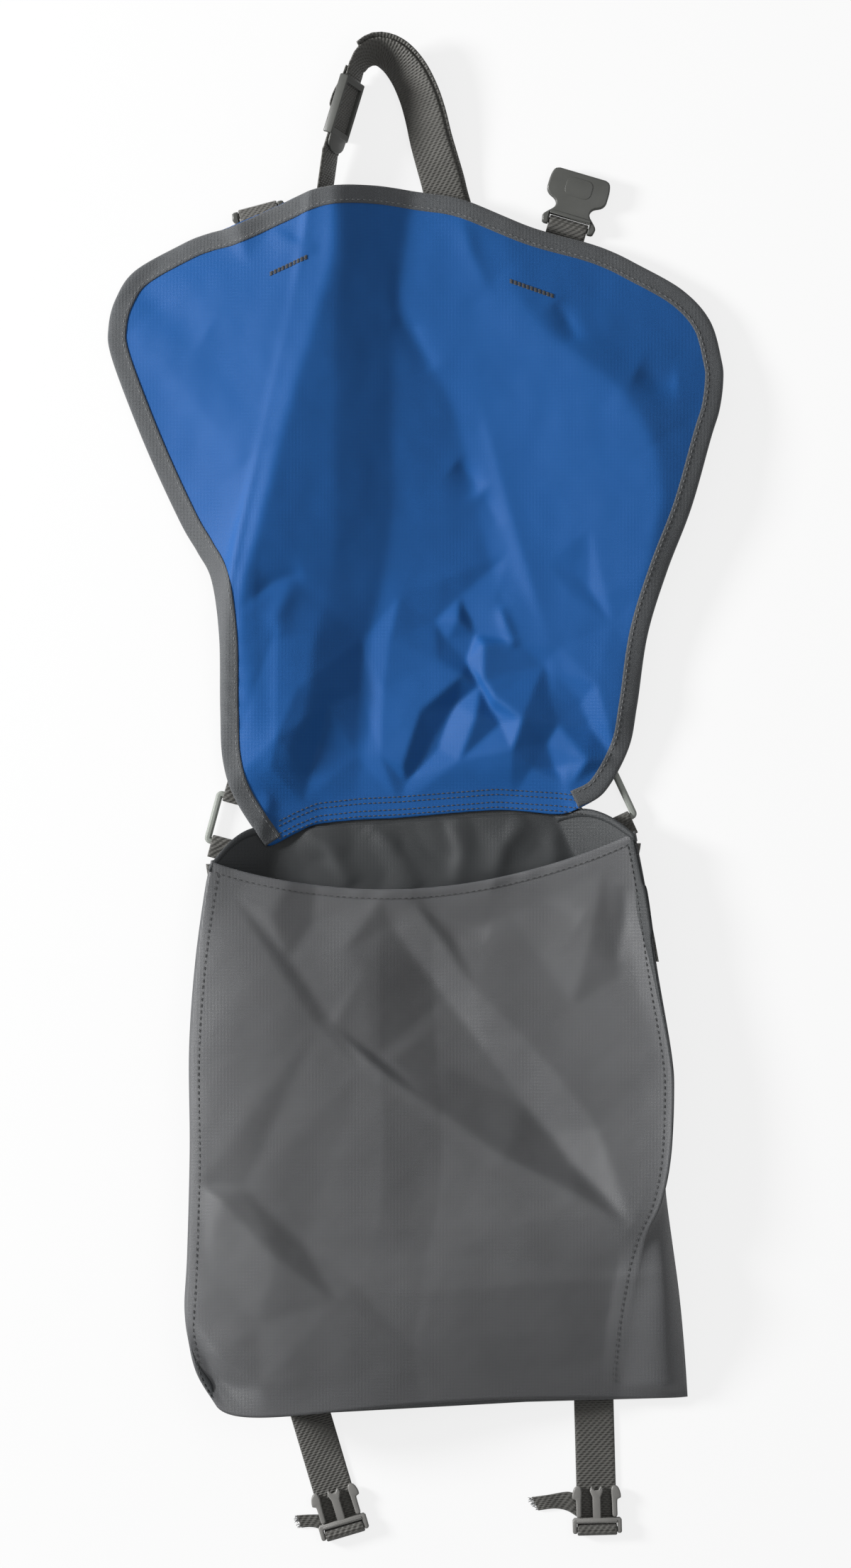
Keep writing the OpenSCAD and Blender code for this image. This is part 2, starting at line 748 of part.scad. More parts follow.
window_w = web_w / 2 + turn_gap;
window_l = bar_r + turn_gap + web_t + 0.55;
socket_side = [
    [15.5, -2.5], [17.3, -0.5], [17.2, 2.5], [14.6, 5.5], [11.5, 8.5], [11, 11], [12.5, 13.5], [17.5, 16],
    [19.5, 20.5], [19.5, 29], [17.5, 32.5], [15.8, 33.5]
];
socket_behind = 2.5;
pocket_w = 12.4;
pocket_t = 4.6;
pocket_from = 8.5;

module at_bar(bar, turn) {
    translate(bar)
        rotate([0, 0, turn])
            children();
}

module cross_bar() {
    rotate([0, 90, 0])
        cylinder(h = 2 * window_w + 0.4, r = bar_r, center = true);
}

module socket() {
    fit = (socket_l - socket_behind) / 33.5;
    side = [for (p = socket_side) [p[0] * socket_w / 39, p[1] < 6 ? p[1] : p[1] * fit]];
    difference() {
        translate([0, 0, -socket_t / 2])
            linear_extrude(socket_t)
                polygon(concat(side, [for (k = [len(side) - 1 : -1 : 0]) [-side[k][0], side[k][1]]]));
        translate([-window_w, -socket_l, -socket_t])
            cube([2 * window_w, socket_l + window_l, 2 * socket_t]);
        translate([-pocket_w, pocket_from, -pocket_t / 2])
            cube([2 * pocket_w, socket_l, pocket_t]);
    }
    cross_bar();
}

module left_female_buckle() {
    color(plastic_colour)
        at_bar(left_bar, left_bar_turn)
            socket();
}

module right_female_buckle() {
    color(plastic_colour)
        at_bar(right_bar, right_bar_turn)
            socket();
}

// The right tab runs straight in under the edge of the flap
module right_buckle_tab() {
    top = right_tab_z - tape_over - seat_gap + 0.05;
    color(webbing_colour)
        at_bar(right_bar, right_bar_turn)
            web_loop(bar_r, tab_in, top - 2 * web_t - right_bar[2]);
}

// The left tab climbs from the buckle, which is folded under the flap, up to the lining
module left_buckle_tab() {
    top = left_tab_z - tape_over - seat_gap + 0.05 - left_bar[2];
    rise = 35;
    r = bar_r + turn_gap;
    climb = (top - (r + 2 * web_t) * cos(rise)) / sin(rise);
    color(webbing_colour)
        at_bar(left_bar, left_bar_turn + 180) {
            web_loop(bar_r, climb, r, rise);
            translate([-web_w / 2, -left_tab_in, top - 2 * web_t])
                cube([web_w, left_tab_in - 6.2, 2 * web_t]);
        }
}

// ---------- closure straps and male halves ----------

male_bar_z = bar_r + turn_gap + web_t + 0.06;
male_low = -bar_r;
male_half = 15.5;
male_base = 7.6;
guide_w = 2.6;
prong_root = 1.6;
prong_x = 11.4;
prong_thin = 0.5;
strap_x = [-66.7, 112.7];
strap_turn = [16.5, 1.5];
function strap_of(side) = side < 0 ? 0 : 1;
// The lower of the two bottom seams at x
function seam_y(x) = min([for (ends = [[back_left(1), back_right(1)], [front_left(1), front_right(1)]])
    let (u = (x - ends[0][0]) / (ends[1][0] - ends[0][0]))
    mix(ends[0][1], ends[1][1], u) - bottom_bow(u)
]);
function fold_at(side) =
    let (x = strap_x[strap_of(side)], half = web_w / 2 / cos(strap_turn[strap_of(side)]))
    [x, min([for (k = [-1 : 0.5 : 1]) seam_y(x + k * half)]) - web_t / 2 - seat_gap, web_t / 2];
function strap_ahead(side) = let (a = strap_turn[strap_of(side)]) [sin(a), -cos(a)];
function strap_reach(side) = side < 0 ? left_strap_l : right_strap_l;
function male_bar(side) =
    let (f = fold_at(side), p = [f[0], f[1]] + strap_reach(side) * strap_ahead(side))
    [p[0], p[1], male_bar_z];

module closure_strap(side) {
    f = fold_at(side);
    b = male_bar(side);
    turn = strap_turn[strap_of(side)];
    half = web_w / 2 / cos(turn);
    side_by = web_w / 2 * [cos(turn), sin(turn)];
    end = [b[0], b[1]] - strap_ahead(side);
    past = 0.5;
    linear_extrude(web_t)
        polygon([
            [f[0] - half, f[1] + past],
            end - side_by,
            end + side_by,
            [f[0] + half, f[1] + past]
        ]);
    at_bar(b, turn)
        rotate([40, 0, 0])
            rotate([0, 90, 0])
                difference() {
                    cylinder(h = web_w, r = bar_r + turn_gap + web_t, center = true);
                    cylinder(h = 2 * web_w, r = bar_r + turn_gap, center = true);
                }
}

module left_closure_strap() {
    color(webbing_colour)
        closure_strap(-1);
}

module right_closure_strap() {
    color(webbing_colour)
        closure_strap(1);
}

// A short frayed end of webbing shows beside each closure strap
module strap_tail(side, from_end, outline) {
    turn = strap_turn[strap_of(side)];
    at_bar([male_bar(side)[0], male_bar(side)[1], 0], turn)
        linear_extrude(web_t)
            translate([-web_w / 2 - seat_gap, from_end])
                polygon(outline);
}

module left_strap_tail() {
    color(webbing_colour)
        strap_tail(-1, 3, [[0, 0], [0, 11], [-14, 14.5], [-13, 6]]);
}

module right_strap_tail() {
    color(webbing_colour)
        strap_tail(1, 8, [[0, 0], [0, 14], [-5, 16], [-28, 13], [-24, 4.5], [-11, 6]]);
}

module male() {
    difference() {
        translate([-male_half, -2.2, male_low])
            cube([2 * male_half, 2.2 + male_base, male_t]);
        translate([-window_w, -male_half, -male_t])
            cube([2 * window_w, male_half + window_l, 3 * male_t]);
    }
    cross_bar();
    translate([0, 0, male_low + prong_thin])
        linear_extrude(male_t - 2 * prong_thin)
            polygon([
                [-guide_w, male_base - 1], [-guide_w, male_base + 13], [-4.2, male_base + 17],
                [-3.2, male_base + 20], [-1.2, male_base + 17.5], [1.2, male_base + 17.5],
                [3.2, male_base + 20], [4.2, male_base + 17],
                [guide_w, male_base + 13], [guide_w, male_base - 1]
            ]);
}

module at_male(side) {
    at_bar(male_bar(side), strap_turn[strap_of(side)])
        children();
}

// A prong bends about its root, just above the base
module prong(which) {
    tip = prong_root + prong_l;
    side = [
        [-prong_root, prong_root], [prong_root, prong_root], [1.6, tip - 8.5], [4, tip - 8],
        [3.4, tip - 3.5], [0.6, tip], [-1.6, tip - 0.6], [-2.2, tip - 4]
    ];
    translate([which * prong_x, male_base + seat_gap, male_low + prong_thin])
        linear_extrude(male_t - 2 * prong_thin) {
            translate([0, prong_root])
                circle(prong_root);
            polygon(which > 0 ? side : [for (k = [len(side) - 1 : -1 : 0]) [-side[k][0], side[k][1]]]);
        }
}

module left_male_buckle() {
    color(ring_colour)
        at_male(-1)
            male();
}

module right_male_buckle() {
    color(ring_colour)
        at_male(1)
            male();
}

module left_male_prong_a() {
    color(ring_colour)
        at_male(-1)
            prong(-1);
}

module left_male_prong_b() {
    color(ring_colour)
        at_male(-1)
            prong(1);
}

module right_male_prong_a() {
    color(ring_colour)
        at_male(1)
            prong(-1);
}

module right_male_prong_b() {
    color(ring_colour)
        at_male(1)
            prong(1);
}

back_panel();
front_panel();
front_hem();
left_gusset();
right_gusset();
bottom_panel();
flap_shell();
flap_lining();
flap_binding();
left_ring_tab();
right_ring_tab();
left_ring_loop();
right_ring_loop();
left_ring();
right_ring();
shoulder_strap();
strap_return();
left_strap_end();
right_strap_end();
strap_adjuster();
left_buckle_tab();
right_buckle_tab();
left_female_buckle();
right_female_buckle();
left_closure_strap();
right_closure_strap();
left_male_buckle();
right_male_buckle();
left_male_prong_a();
left_male_prong_b();
right_male_prong_a();
right_male_prong_b();
left_strap_tail();
right_strap_tail();
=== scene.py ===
import math
import random

import bmesh
import bpy
import numpy as np
from mathutils import Matrix, Vector
from mathutils.geometry import delaunay_2d_cdt


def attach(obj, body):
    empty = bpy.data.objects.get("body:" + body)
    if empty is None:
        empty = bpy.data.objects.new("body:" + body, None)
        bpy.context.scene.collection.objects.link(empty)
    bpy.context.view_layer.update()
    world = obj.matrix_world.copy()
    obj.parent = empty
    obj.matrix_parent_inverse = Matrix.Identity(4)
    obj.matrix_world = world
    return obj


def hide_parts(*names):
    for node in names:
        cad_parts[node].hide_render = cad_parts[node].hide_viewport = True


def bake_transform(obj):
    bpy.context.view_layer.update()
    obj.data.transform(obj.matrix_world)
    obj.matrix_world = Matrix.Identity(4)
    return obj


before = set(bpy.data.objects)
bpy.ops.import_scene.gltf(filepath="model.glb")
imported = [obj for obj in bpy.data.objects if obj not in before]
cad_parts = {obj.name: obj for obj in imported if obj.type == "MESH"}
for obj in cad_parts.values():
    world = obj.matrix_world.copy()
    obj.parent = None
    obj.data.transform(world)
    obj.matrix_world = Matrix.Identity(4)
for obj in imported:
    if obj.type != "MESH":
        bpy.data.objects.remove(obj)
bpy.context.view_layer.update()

bl_info = {
    "name": "Open Messenger Bag",
    "version": (1, 0, 0),
    "blender": (4, 2, 0),
    "location": "View3D > Sidebar > Bag",
    "description": "Cloth, webbing, stitching and plastic fittings of a messenger bag lying open",
    "category": "Add Mesh",
}

MM = 0.001
WEB_W, WEB_T = 25.0, 1.6
TAPE_W = 11.5


# ---------------------------------------------------------------- settings

def srgb(text):
    """An sRGB hex colour as linear red, green, blue and alpha."""
    value = text.lstrip("#")
    parts = [int(value[k:k + 2], 16) / 255 for k in (0, 2, 4)]
    return [c / 12.92 if c <= 0.04045 else ((c + 0.055) / 1.055) ** 2.4 for c in parts] + [1.0]


def colour_prop(name, description, text):
    return bpy.props.FloatVectorProperty(
        name=name, description=description, default=srgb(text)[:3], subtype="COLOR", size=3,
        min=0.0, max=1.0)


def length_prop(name, description, millimetres):
    return bpy.props.FloatProperty(
        name=name, description=description, default=millimetres * MM, unit="LENGTH", subtype="DISTANCE",
        min=0.0)


class BagColours(bpy.types.PropertyGroup):
    flap: colour_prop("Flap", "Coated nylon of the flap's outside", "#205a9d")
    body: colour_prop("Body", "Nylon cloth of the body", "#5f6062")
    lining: colour_prop("Lining", "Cloth on the inside", "#333638")
    tape: colour_prop("Binding", "Tape round the flap", "#4e5154")
    webbing: colour_prop("Webbing", "Woven straps", "#5b5a56")
    fitting: colour_prop("Fittings", "Moulded buckles", "#51524f")
    ring: colour_prop("Rings", "Moulded strap rings", "#8d918b")
    tongue: colour_prop("Tongues", "Moulded male buckle halves", "#7c7b78")
    thread: colour_prop("Thread", "Sewing thread", "#6c6d6e")


class BagSizes(bpy.types.PropertyGroup):
    webbing_width: length_prop("Webbing width", "Width of every strap", WEB_W)
    webbing_thickness: length_prop("Webbing thickness", "Thickness of every strap", WEB_T)
    binding_width: length_prop("Binding width", "Width of the tape round the flap", TAPE_W)
    rib_pitch: length_prop("Rib pitch", "Spacing of the webbing's ribs", 1.5)
    weave_pitch: length_prop("Weave pitch", "Spacing of the cloth's threads", 0.9)
    stitch: length_prop("Stitch", "Length of one stitch", 2.6)
    stitch_gap: length_prop("Stitch gap", "Gap between stitches", 1.3)


def sizes():
    return bpy.context.scene.bag_sizes


# ---------------------------------------------------------------- plain geometry

def unit(v):
    n = np.linalg.norm(v, axis=-1, keepdims=True)
    return v / np.where(n == 0, 1, n)


def run_length(points):
    """Length along a line of points, from 0 at its start."""
    return np.concatenate([[0], np.cumsum(np.linalg.norm(np.diff(points, axis=0), axis=1))])


def eased_between(a, b, c, d, f):
    """A share f of the smooth way from b to c, with a before them and d after them."""
    return (2 * b + (c - a) * f + (2 * a - 5 * b + 4 * c - d) * f ** 2 + (3 * b - a - 3 * c + d) * f ** 3) / 2


def smooth_curve(points, count):
    """count + 1 points on a smooth curve through a few, evenly spread by length."""
    p = np.array(points, float)
    last = len(p) - 1
    fine = [eased_between(p[max(k - 1, 0)], p[k], p[k + 1], p[min(k + 2, last)], f)
            for k in range(last) for f in np.linspace(0, 1, 16, endpoint=False)]
    fine = np.array(fine + [p[-1]])
    run = run_length(fine[:, :2])
    at = np.linspace(0, run[-1], count + 1)
    return np.stack([np.interp(at, run, fine[:, k]) for k in range(fine.shape[1])], axis=1)


def line_distance(points, line):
    """Distance of each point from a line of stops, its side (+ is left) and its share along the line."""
    line = np.array(line, float)[:, :2]
    best, side, share = np.full(len(points), 1e9), np.zeros(len(points)), np.zeros(len(points))
    start = run_length(line)
    for k in range(len(line) - 1):
        a, b = line[k], line[k + 1]
        ab = b - a
        ap = points - a
        f = np.clip(ap @ ab / max(ab @ ab, 1e-9), 0, 1)
        d = np.linalg.norm(ap - f[:, None] * ab, axis=1)
        near = d < best
        best[near] = d[near]
        cross = ab[0] * ap[:, 1] - ab[1] * ap[:, 0]
        side[near] = np.sign(cross[near])
        share[near] = ((start[k] + f * (start[k + 1] - start[k])) / start[-1])[near]
    return best, side, share


def ease(t):
    c = np.clip(t, 0, 1)
    return c * c * (3 - 2 * c)


def tapered(share):
    """A fold's strength along its line: it grows from one end and dies out at the other."""
    return np.sin(np.pi * np.clip(share, 0, 1)) ** 0.6


def fold(points, line, height, east, west, sharp=1.6):
    """A fold along a line drawn downwards, in millimetres: its height and its width on each side.
    A negative height is a valley; sharp is 2 for a soft fold and near 1 for a crease."""
    stops = np.array(line, float)
    reach = 3.2 * max(east, west)
    near = np.all((points > stops.min(axis=0) - reach) & (points < stops.max(axis=0) + reach), axis=1)
    rise = np.zeros(len(points))
    d, side, share = line_distance(points[near], line)
    width = np.where(side >= 0, east, west)
    rise[near] = height * np.exp(-(d / width) ** sharp) * tapered(share)
    return rise


def folds(points, rows):
    """Several folds together, each given as fold() takes it."""
    return sum(fold(points, *row) for row in rows)


def lump(points, x, y, height, wide, tall):
    """A soft bump of cloth at one place, in millimetres."""
    return height * np.exp(-((points[:, 0] - x) / wide) ** 2 - ((points[:, 1] - y) / tall) ** 2)


def facets(points, corners, creases):
    """Height of a cloth of flat facets at each point: corners are x, y, height in millimetres, and
    creases are the pairs of corners that a facet's edge must follow."""
    plan = [Vector(c[:2]) for c in corners]
    flat, _, faces, back, _, _ = delaunay_2d_cdt(plan, creases, [], 0, 1e-4)
    high = [np.mean([corners[k][2] for k in names]) for names in back]
    rise = np.zeros(len(points))
    for face in faces:
        a, b, c = (np.array(flat[k]) for k in face)
        za, zb, zc = (high[k] for k in face)
        low, top = np.minimum(np.minimum(a, b), c) - 0.01, np.maximum(np.maximum(a, b), c) + 0.01
        near = np.flatnonzero(np.all((points >= low) & (points <= top), axis=1))
        d = points[near] - a
        ab, ac = b - a, c - a
        area = ab[0] * ac[1] - ab[1] * ac[0]
        v = (d[:, 0] * ac[1] - d[:, 1] * ac[0]) / area
        w = (ab[0] * d[:, 1] - ab[1] * d[:, 0]) / area
        inside = (v >= -1e-6) & (w >= -1e-6) & (v + w <= 1 + 1e-6)
        rise[near[inside]] = (za + v * (zb - za) + w * (zc - za))[inside]
    return rise


def bumps(points, scale, seed):
    """Smooth noise between -1 and 1 from a few turned waves."""
    rng = random.Random(seed)
    total = np.zeros(len(points))
    for _ in range(7):
        turn = rng.uniform(0, math.pi * 2)
        size = scale * rng.uniform(0.6, 1.7)
        phase = rng.uniform(0, math.pi * 2)
        bend = rng.uniform(0.3, 0.9)
        u = points[:, 0] * math.cos(turn) + points[:, 1] * math.sin(turn)
        v = -points[:, 0] * math.sin(turn) + points[:, 1] * math.cos(turn)
        total += np.sin(2 * math.pi * u / size + phase + bend * np.sin(2 * math.pi * v / (size * 1.9)))
    return total / 7


def heading(turn):
    """The way in plan that a piece points when it is turned by some degrees from straight down."""
    return np.array([math.sin(math.radians(turn)), -math.cos(math.radians(turn))])


def drawn_between(left, right, top, low):
    """A grid of points between four edges: its rows run from top to low, its columns from left to right."""
    u = np.linspace(0, 1, len(top))[None, :, None]
    v = np.linspace(0, 1, len(left))[:, None, None]
    corners = (left[0] * (1 - u) + right[0] * u) * (1 - v) + (left[-1] * (1 - u) + right[-1] * u) * v
    return left[:, None] * (1 - u) + right[:, None] * u + top[None] * (1 - v) + low[None] * v - corners


# ---------------------------------------------------------------- making pieces

FLAP_FOLD = ("bag", "flap", (4.3, -24.0, 0.0), (2.7, 6.0, 0.0))


def finish_piece(bm, name, material, body, replaces=()):
    """Turns a bmesh in millimetres into a piece that rides on a body, or that stays fixed in place when given
    more than one.
    """
    bmesh.ops.scale(bm, vec=(MM, MM, MM), verts=bm.verts)
    mesh = bpy.data.meshes.new(name)
    bm.to_mesh(mesh)
    bm.free()
    for polygon in mesh.polygons:
        polygon.use_smooth = True
    piece = bpy.data.objects.new(name, mesh)
    bpy.context.collection.objects.link(piece)
    for one in material if isinstance(material, (list, tuple)) else [material]:
        mesh.materials.append(one)
    if isinstance(body, str):
        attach(piece, body)
    else:
        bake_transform(piece)
    if replaces:
        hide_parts(*replaces)
    return piece


def modifier(piece, kind, **settings):
    made = piece.modifiers.new(kind.title(), kind)
    for key, value in settings.items():
        setattr(made, key, value)
    return made


def grid_mesh(points, closed=False, lengths=None):
    """A bmesh of a grid of points, points[row][column], with its own lengths as a UV map."""
    rows, cols = points.shape[:2]
    bm = bmesh.new()
    layer = bm.loops.layers.uv.new("lie")
    bmesh.ops.create_grid(bm, x_segments=cols - 1, y_segments=rows - 1, size=1)
    if lengths is None:
        across = np.linalg.norm(np.diff(points, axis=1), axis=2).mean(axis=0)
        along = np.linalg.norm(np.diff(points, axis=0), axis=2).mean(axis=1)
        lengths = [np.concatenate([[0], np.cumsum(steps)]) for steps in (across, along)]
    where = {v: (int(round((v.co.x + 1) / 2 * (cols - 1))), int(round((v.co.y + 1) / 2 * (rows - 1))))
             for v in bm.verts}
    for face in bm.faces:
        for loop in face.loops:
            i, j = where[loop.vert]
            loop[layer].uv = (lengths[0][i], lengths[1][j])
    for vert, (i, j) in where.items():
        vert.co = points[j][i]
    if closed:
        bmesh.ops.remove_doubles(bm, verts=bm.verts, dist=1e-4)
    return bm


def outward(bm):
    bmesh.ops.recalc_face_normals(bm, faces=bm.faces)


def tube(points, lengths=None, caps=True):
    """A grid whose first and last columns meet, with its two ends filled in."""
    bm = grid_mesh(points, True, lengths)
    edges = [e for e in bm.edges if e.is_boundary]
    if caps and edges:
        bmesh.ops.holes_fill(bm, edges=edges, sides=0)
    outward(bm)
    return bm


def swept(frames, profile, caps=True):
    """A closed profile carried along a route: frames are (place, across, up), profile (across, up) pairs."""
    ring = list(profile) + [profile[0]]
    points = np.array([[p + w * a + u * b for a, b in ring] for p, w, u in frames])
    return tube(points, (run_length(np.array(ring)), run_length(np.array([f[0] for f in frames]))), caps)


def strap_profile(width, thick):
    """The section of webbing: flat faces with round selvedges that are a little thinner."""
    half, r = width / 2, thick / 2
    face = [(half * 0.94 * k / 5, r) for k in range(-5, 6)]
    turns = [math.pi * k / 5 for k in range(1, 5)]
    selvedge = [(half - r + r * math.sin(a), r * 0.9 * math.cos(a)) for a in turns]
    return face + selvedge + [(-x, -z) for x, z in face + selvedge]


def upright_frames(origin, way, path):
    """Frames of a route in an upright plane: path is (distance along the way, height) pairs."""
    ahead = unit(np.array([*way, 0.0]))
    up = np.array([0.0, 0.0, 1.0])
    side = np.cross(up, ahead)
    places = np.array([np.array([*origin, 0.0]) + ahead * a + up * z for a, z in path])
    return [(p, side, np.cross(d, side)) for p, d in zip(places, unit(np.gradient(places, axis=0)))]


def arc(centre, r, start, end, count):
    return [(centre[0] + r * math.cos(math.radians(a)), centre[1] + r * math.sin(math.radians(a)))
            for a in np.linspace(start, end, count)]


def moulded(bm, outline, low, high, soft=0.7, soft_low=None):
    """A moulded plate with rounded rims; its outline runs anticlockwise."""
    soft_low = soft if soft_low is None else soft_low
    quarter = [math.radians(a) for a in (0, 30, 60, 90)]
    levels = [(soft_low * (1 - math.sin(a)), low + soft_low * (1 - math.cos(a))) for a in quarter]
    levels += [(soft * (1 - math.sin(a)), high - soft * (1 - math.cos(a))) for a in reversed(quarter)]
    levels = [lv for k, lv in enumerate(levels) if k == 0 or lv != levels[k - 1]]
    mark = bm.verts.layers.int.get("rim") or bm.verts.layers.int.new("rim")
    p = np.array(outline, float)
    before, after = unit(p - np.roll(p, 1, axis=0)), unit(np.roll(p, -1, axis=0) - p)
    n1 = np.stack([before[:, 1], -before[:, 0]], axis=1)
    n2 = np.stack([after[:, 1], -after[:, 0]], axis=1)
    out = unit(n1 + n2)
    out = out / np.maximum((out * n1).sum(axis=1), 0.6)[:, None]
    ring = []
    for k, place in enumerate(p - out * levels[0][0]):
        vert = bm.verts.new((*place, levels[0][1]))
        vert[mark] = k
        ring.append(vert)
    edges = [bm.edges.new((ring[k - 1], ring[k])) for k in range(len(ring))]
    bmesh.ops.triangle_fill(bm, use_beauty=True, edges=edges)
    for inset, height in levels[1:]:
        made = bmesh.ops.extrude_edge_only(bm, edges=edges)["geom"]
        fresh = {v for v in made if isinstance(v, bmesh.types.BMVert)}
        edges = [e for e in made if isinstance(e, bmesh.types.BMEdge) and set(e.verts) <= fresh]
        for vert in fresh:
            vert.co = (*(p[vert[mark]] - out[vert[mark]] * inset), height)
    bmesh.ops.triangle_fill(bm, use_beauty=True, edges=edges)
    outward(bm)


def flipped(outline):
    """The same outline on the other side of the Y axis, still anticlockwise."""
    return [(-x, y) for x, y in reversed(outline)]


def rounded(width, length, r, centre=(0.0, 0.0), steps=4):
    """An anticlockwise rectangle with round corners."""
    points = []
    for k, (sx, sy) in enumerate(((1, 1), (-1, 1), (-1, -1), (1, -1))):
        for n in range(steps + 1):
            a = math.radians(90 * k + 90 * n / steps)
            points.append((centre[0] + sx * (width / 2 - r) + r * math.cos(a),
                           centre[1] + sy * (length / 2 - r) + r * math.sin(a)))
    return points


def placed(bm, place, turn):
    """Moves a piece from its own frame to its place, turned in degrees about the vertical."""
    bm.transform(Matrix.Translation(Vector(place)) @ Matrix.Rotation(math.radians(turn), 4, "Z"))
    return bm


def rod(bm):
    """A buckle's round bar along X."""
    bmesh.ops.create_cone(bm, cap_ends=True, segments=20, radius1=BAR_R, radius2=BAR_R, depth=2 * BAR_HALF,
                          matrix=Matrix.Rotation(math.pi / 2, 4, "Y"))


def stitches(name, lines, body, finish="thread", thick=0.55, length=None, gap=None):
    """Rows of thread: each line is a list of points in millimetres that the stitches follow."""
    length = length or sizes().stitch / MM
    gap = gap or sizes().stitch_gap / MM
    bm = bmesh.new()
    for line in lines:
        p = np.array(line, float)
        run = run_length(p)
        count = max(1, int(run[-1] / (length + gap)))
        for k in range(count):
            a = np.array([np.interp(k * (length + gap), run, p[:, c]) for c in range(3)])
            b = np.array([np.interp(k * (length + gap) + length, run, p[:, c]) for c in range(3)])
            if np.linalg.norm(b - a) < 0.2:
                continue
            turn = Vector(b - a).to_track_quat("X", "Z").to_matrix().to_4x4()
            size = Matrix.Diagonal((np.linalg.norm(b - a) / 2, thick, thick * 0.8, 1))
            bmesh.ops.create_uvsphere(bm, u_segments=6, v_segments=4, radius=1,
                                      matrix=Matrix.Translation(Vector((a + b) / 2)) @ turn @ size
                                      @ Matrix.Rotation(math.pi / 2, 4, "Y"))
    return finish_piece(bm, name, MATERIALS[finish], body)


# ---------------------------------------------------------------- materials

MATERIALS = {}
# A wave texture at scale 1 has a band every pi / 10 metres
WAVES_PER_METRE = 2 * math.pi / 20
# A colour mix's sockets: its first and second colour, and its result
MIX_A, MIX_B, MIX_OUT = 6, 7, 2


def add_node(tree, kind, links=(), **settings):
    """Adds a node with its settings; links are (output socket or plain value, this node's input)."""
    made = tree.nodes.new(kind)
    for key, value in settings.items():
        if hasattr(made, key):
            setattr(made, key, value)
        else:
            made.inputs[key.replace("_", " ")].default_value = value
    for source, target in links:
        if isinstance(source, bpy.types.NodeSocket):
            tree.links.new(source, made.inputs[target])
        else:
            made.inputs[target].default_value = source
    return made


def maths(tree, sum_of, first, second):
    """One sum of two sockets or plain values."""
    return add_node(tree, "ShaderNodeMath", [(first, 0), (second, 1)], operation=sum_of).outputs[0]


def new_material(name):
    made = bpy.data.materials.new(name)
    made.use_nodes = True
    made.node_tree.nodes.clear()
    return made, made.node_tree


def varied(tree, vector, colour, low, high, scale):
    """A colour that drifts between darker and lighter by a soft noise."""
    noise = add_node(tree, "ShaderNodeTexNoise", [(vector, "Vector")], Scale=scale, Detail=3.0)
    ramp = add_node(tree, "ShaderNodeValToRGB", [(noise.outputs["Fac"], "Fac")])
    for stop, position, share in zip(ramp.color_ramp.elements, (0.3, 0.72), (low, high)):
        stop.position = position
        stop.color = [min(1, c * share) for c in colour] + [1]
    return ramp.outputs["Color"]


def woven(tree, vector, pitches, kind, weight, colour, low, high, scale):
    """Two sets of threads, as (direction, pitch in metres), and a varied colour, which the callers darken
    between them as painted shade.
    kind is the sum that crosses them; weight is the second set's share of the height."""
    sets = [add_node(tree, "ShaderNodeTexWave", [(vector, "Vector")], bands_direction=way,
                     Scale=WAVES_PER_METRE / pitch, Distortion=0.0, Detail=0.0).outputs["Fac"]
            for way, pitch in pitches]
    if weight != 1:
        sets[1] = maths(tree, "MULTIPLY", sets[1], weight)
    height = maths(tree, kind, *sets)
    return height, varied(tree, vector, colour, low, high, scale)


def finished(made, tree, tone, height, strength, distance, **settings):
    """Joins a tone and a fine relief, distance metres deep, in the surface's shader."""
    relief = add_node(tree, "ShaderNodeBump", [(height, "Height")], Strength=strength, Distance=distance)
    shader = add_node(tree, "ShaderNodeBsdfPrincipled", [(tone, "Base Color"), (relief.outputs[0], "Normal")],
                      **settings)
    add_node(tree, "ShaderNodeOutputMaterial", [(shader.outputs[0], "Surface")])
    return made


def cloth_material(name, colour, roughness, bump, sheen, low=0.9, high=1.1, crumple=0.0, spec=0.5):
    """Woven nylon: crossed threads about a millimetre apart with painted shade between them, a soft drift of
    tone and a dull sheen.
    """
    made, tree = new_material(name)
    place = add_node(tree, "ShaderNodeTexCoord").outputs["Object"]
    pitch = sizes().weave_pitch
    weave, tone = woven(tree, place, (("X", pitch), ("Y", pitch)), "MULTIPLY", 1, colour, low, high, 14.0)
    height = weave
    # a fine grain, and the small lumps of crumpled cloth
    for scale, detail, share in ((900.0, 2.0, 0.6), (55.0, 4.0, crumple)):
        noise = add_node(tree, "ShaderNodeTexNoise", [(place, "Vector")], Scale=scale, Detail=detail)
        height = maths(tree, "ADD", height, maths(tree, "MULTIPLY", noise.outputs["Fac"], share))
    # painted shade: the colour darkens to four fifths where the weave is low, between the threads
    share = maths(tree, "MULTIPLY", weave, 1.4)
    painted_shade_gaps = [c * 0.8 for c in colour] + [1]
    tone = add_node(tree, "ShaderNodeMix", [(share, 0), (painted_shade_gaps, MIX_A), (tone, MIX_B)], data_type="RGBA")
    return finished(made, tree, tone.outputs[MIX_OUT], height, bump, 0.0004, Roughness=roughness,
                    Sheen_Weight=sheen, Sheen_Roughness=0.5, Specular_IOR_Level=spec)


def webbing_material(name, colour):
    """Ribbed nylon webbing: ribs across a millimetre and a half apart, broken into slanted yarns, with
    painted shade in the grooves between them.
    """
    made, tree = new_material(name)
    lie = add_node(tree, "ShaderNodeUVMap", uv_map="lie").outputs["UV"]
    place = add_node(tree, "ShaderNodeVectorMath", [(lie, 0)], operation="SCALE", Scale=MM).outputs["Vector"]
    pitch = sizes().rib_pitch
    sets = (("Y", pitch), ("DIAGONAL", pitch * 1.25))
    height, tone = woven(tree, place, sets, "ADD", 0.8, colour, 0.86, 1.12, 60.0)
    # painted shade: the colour darkens to about half in the grooves between the ribs
    painted_shade_gaps = [c * 0.55 for c in colour] + [1]
    tone = add_node(tree, "ShaderNodeMix", [(height, 0), (painted_shade_gaps, MIX_A), (tone, MIX_B)], data_type="RGBA")
    return finished(made, tree, tone.outputs[MIX_OUT], height, 0.75, 0.0006, Roughness=0.55,
                    Sheen_Weight=0.15)


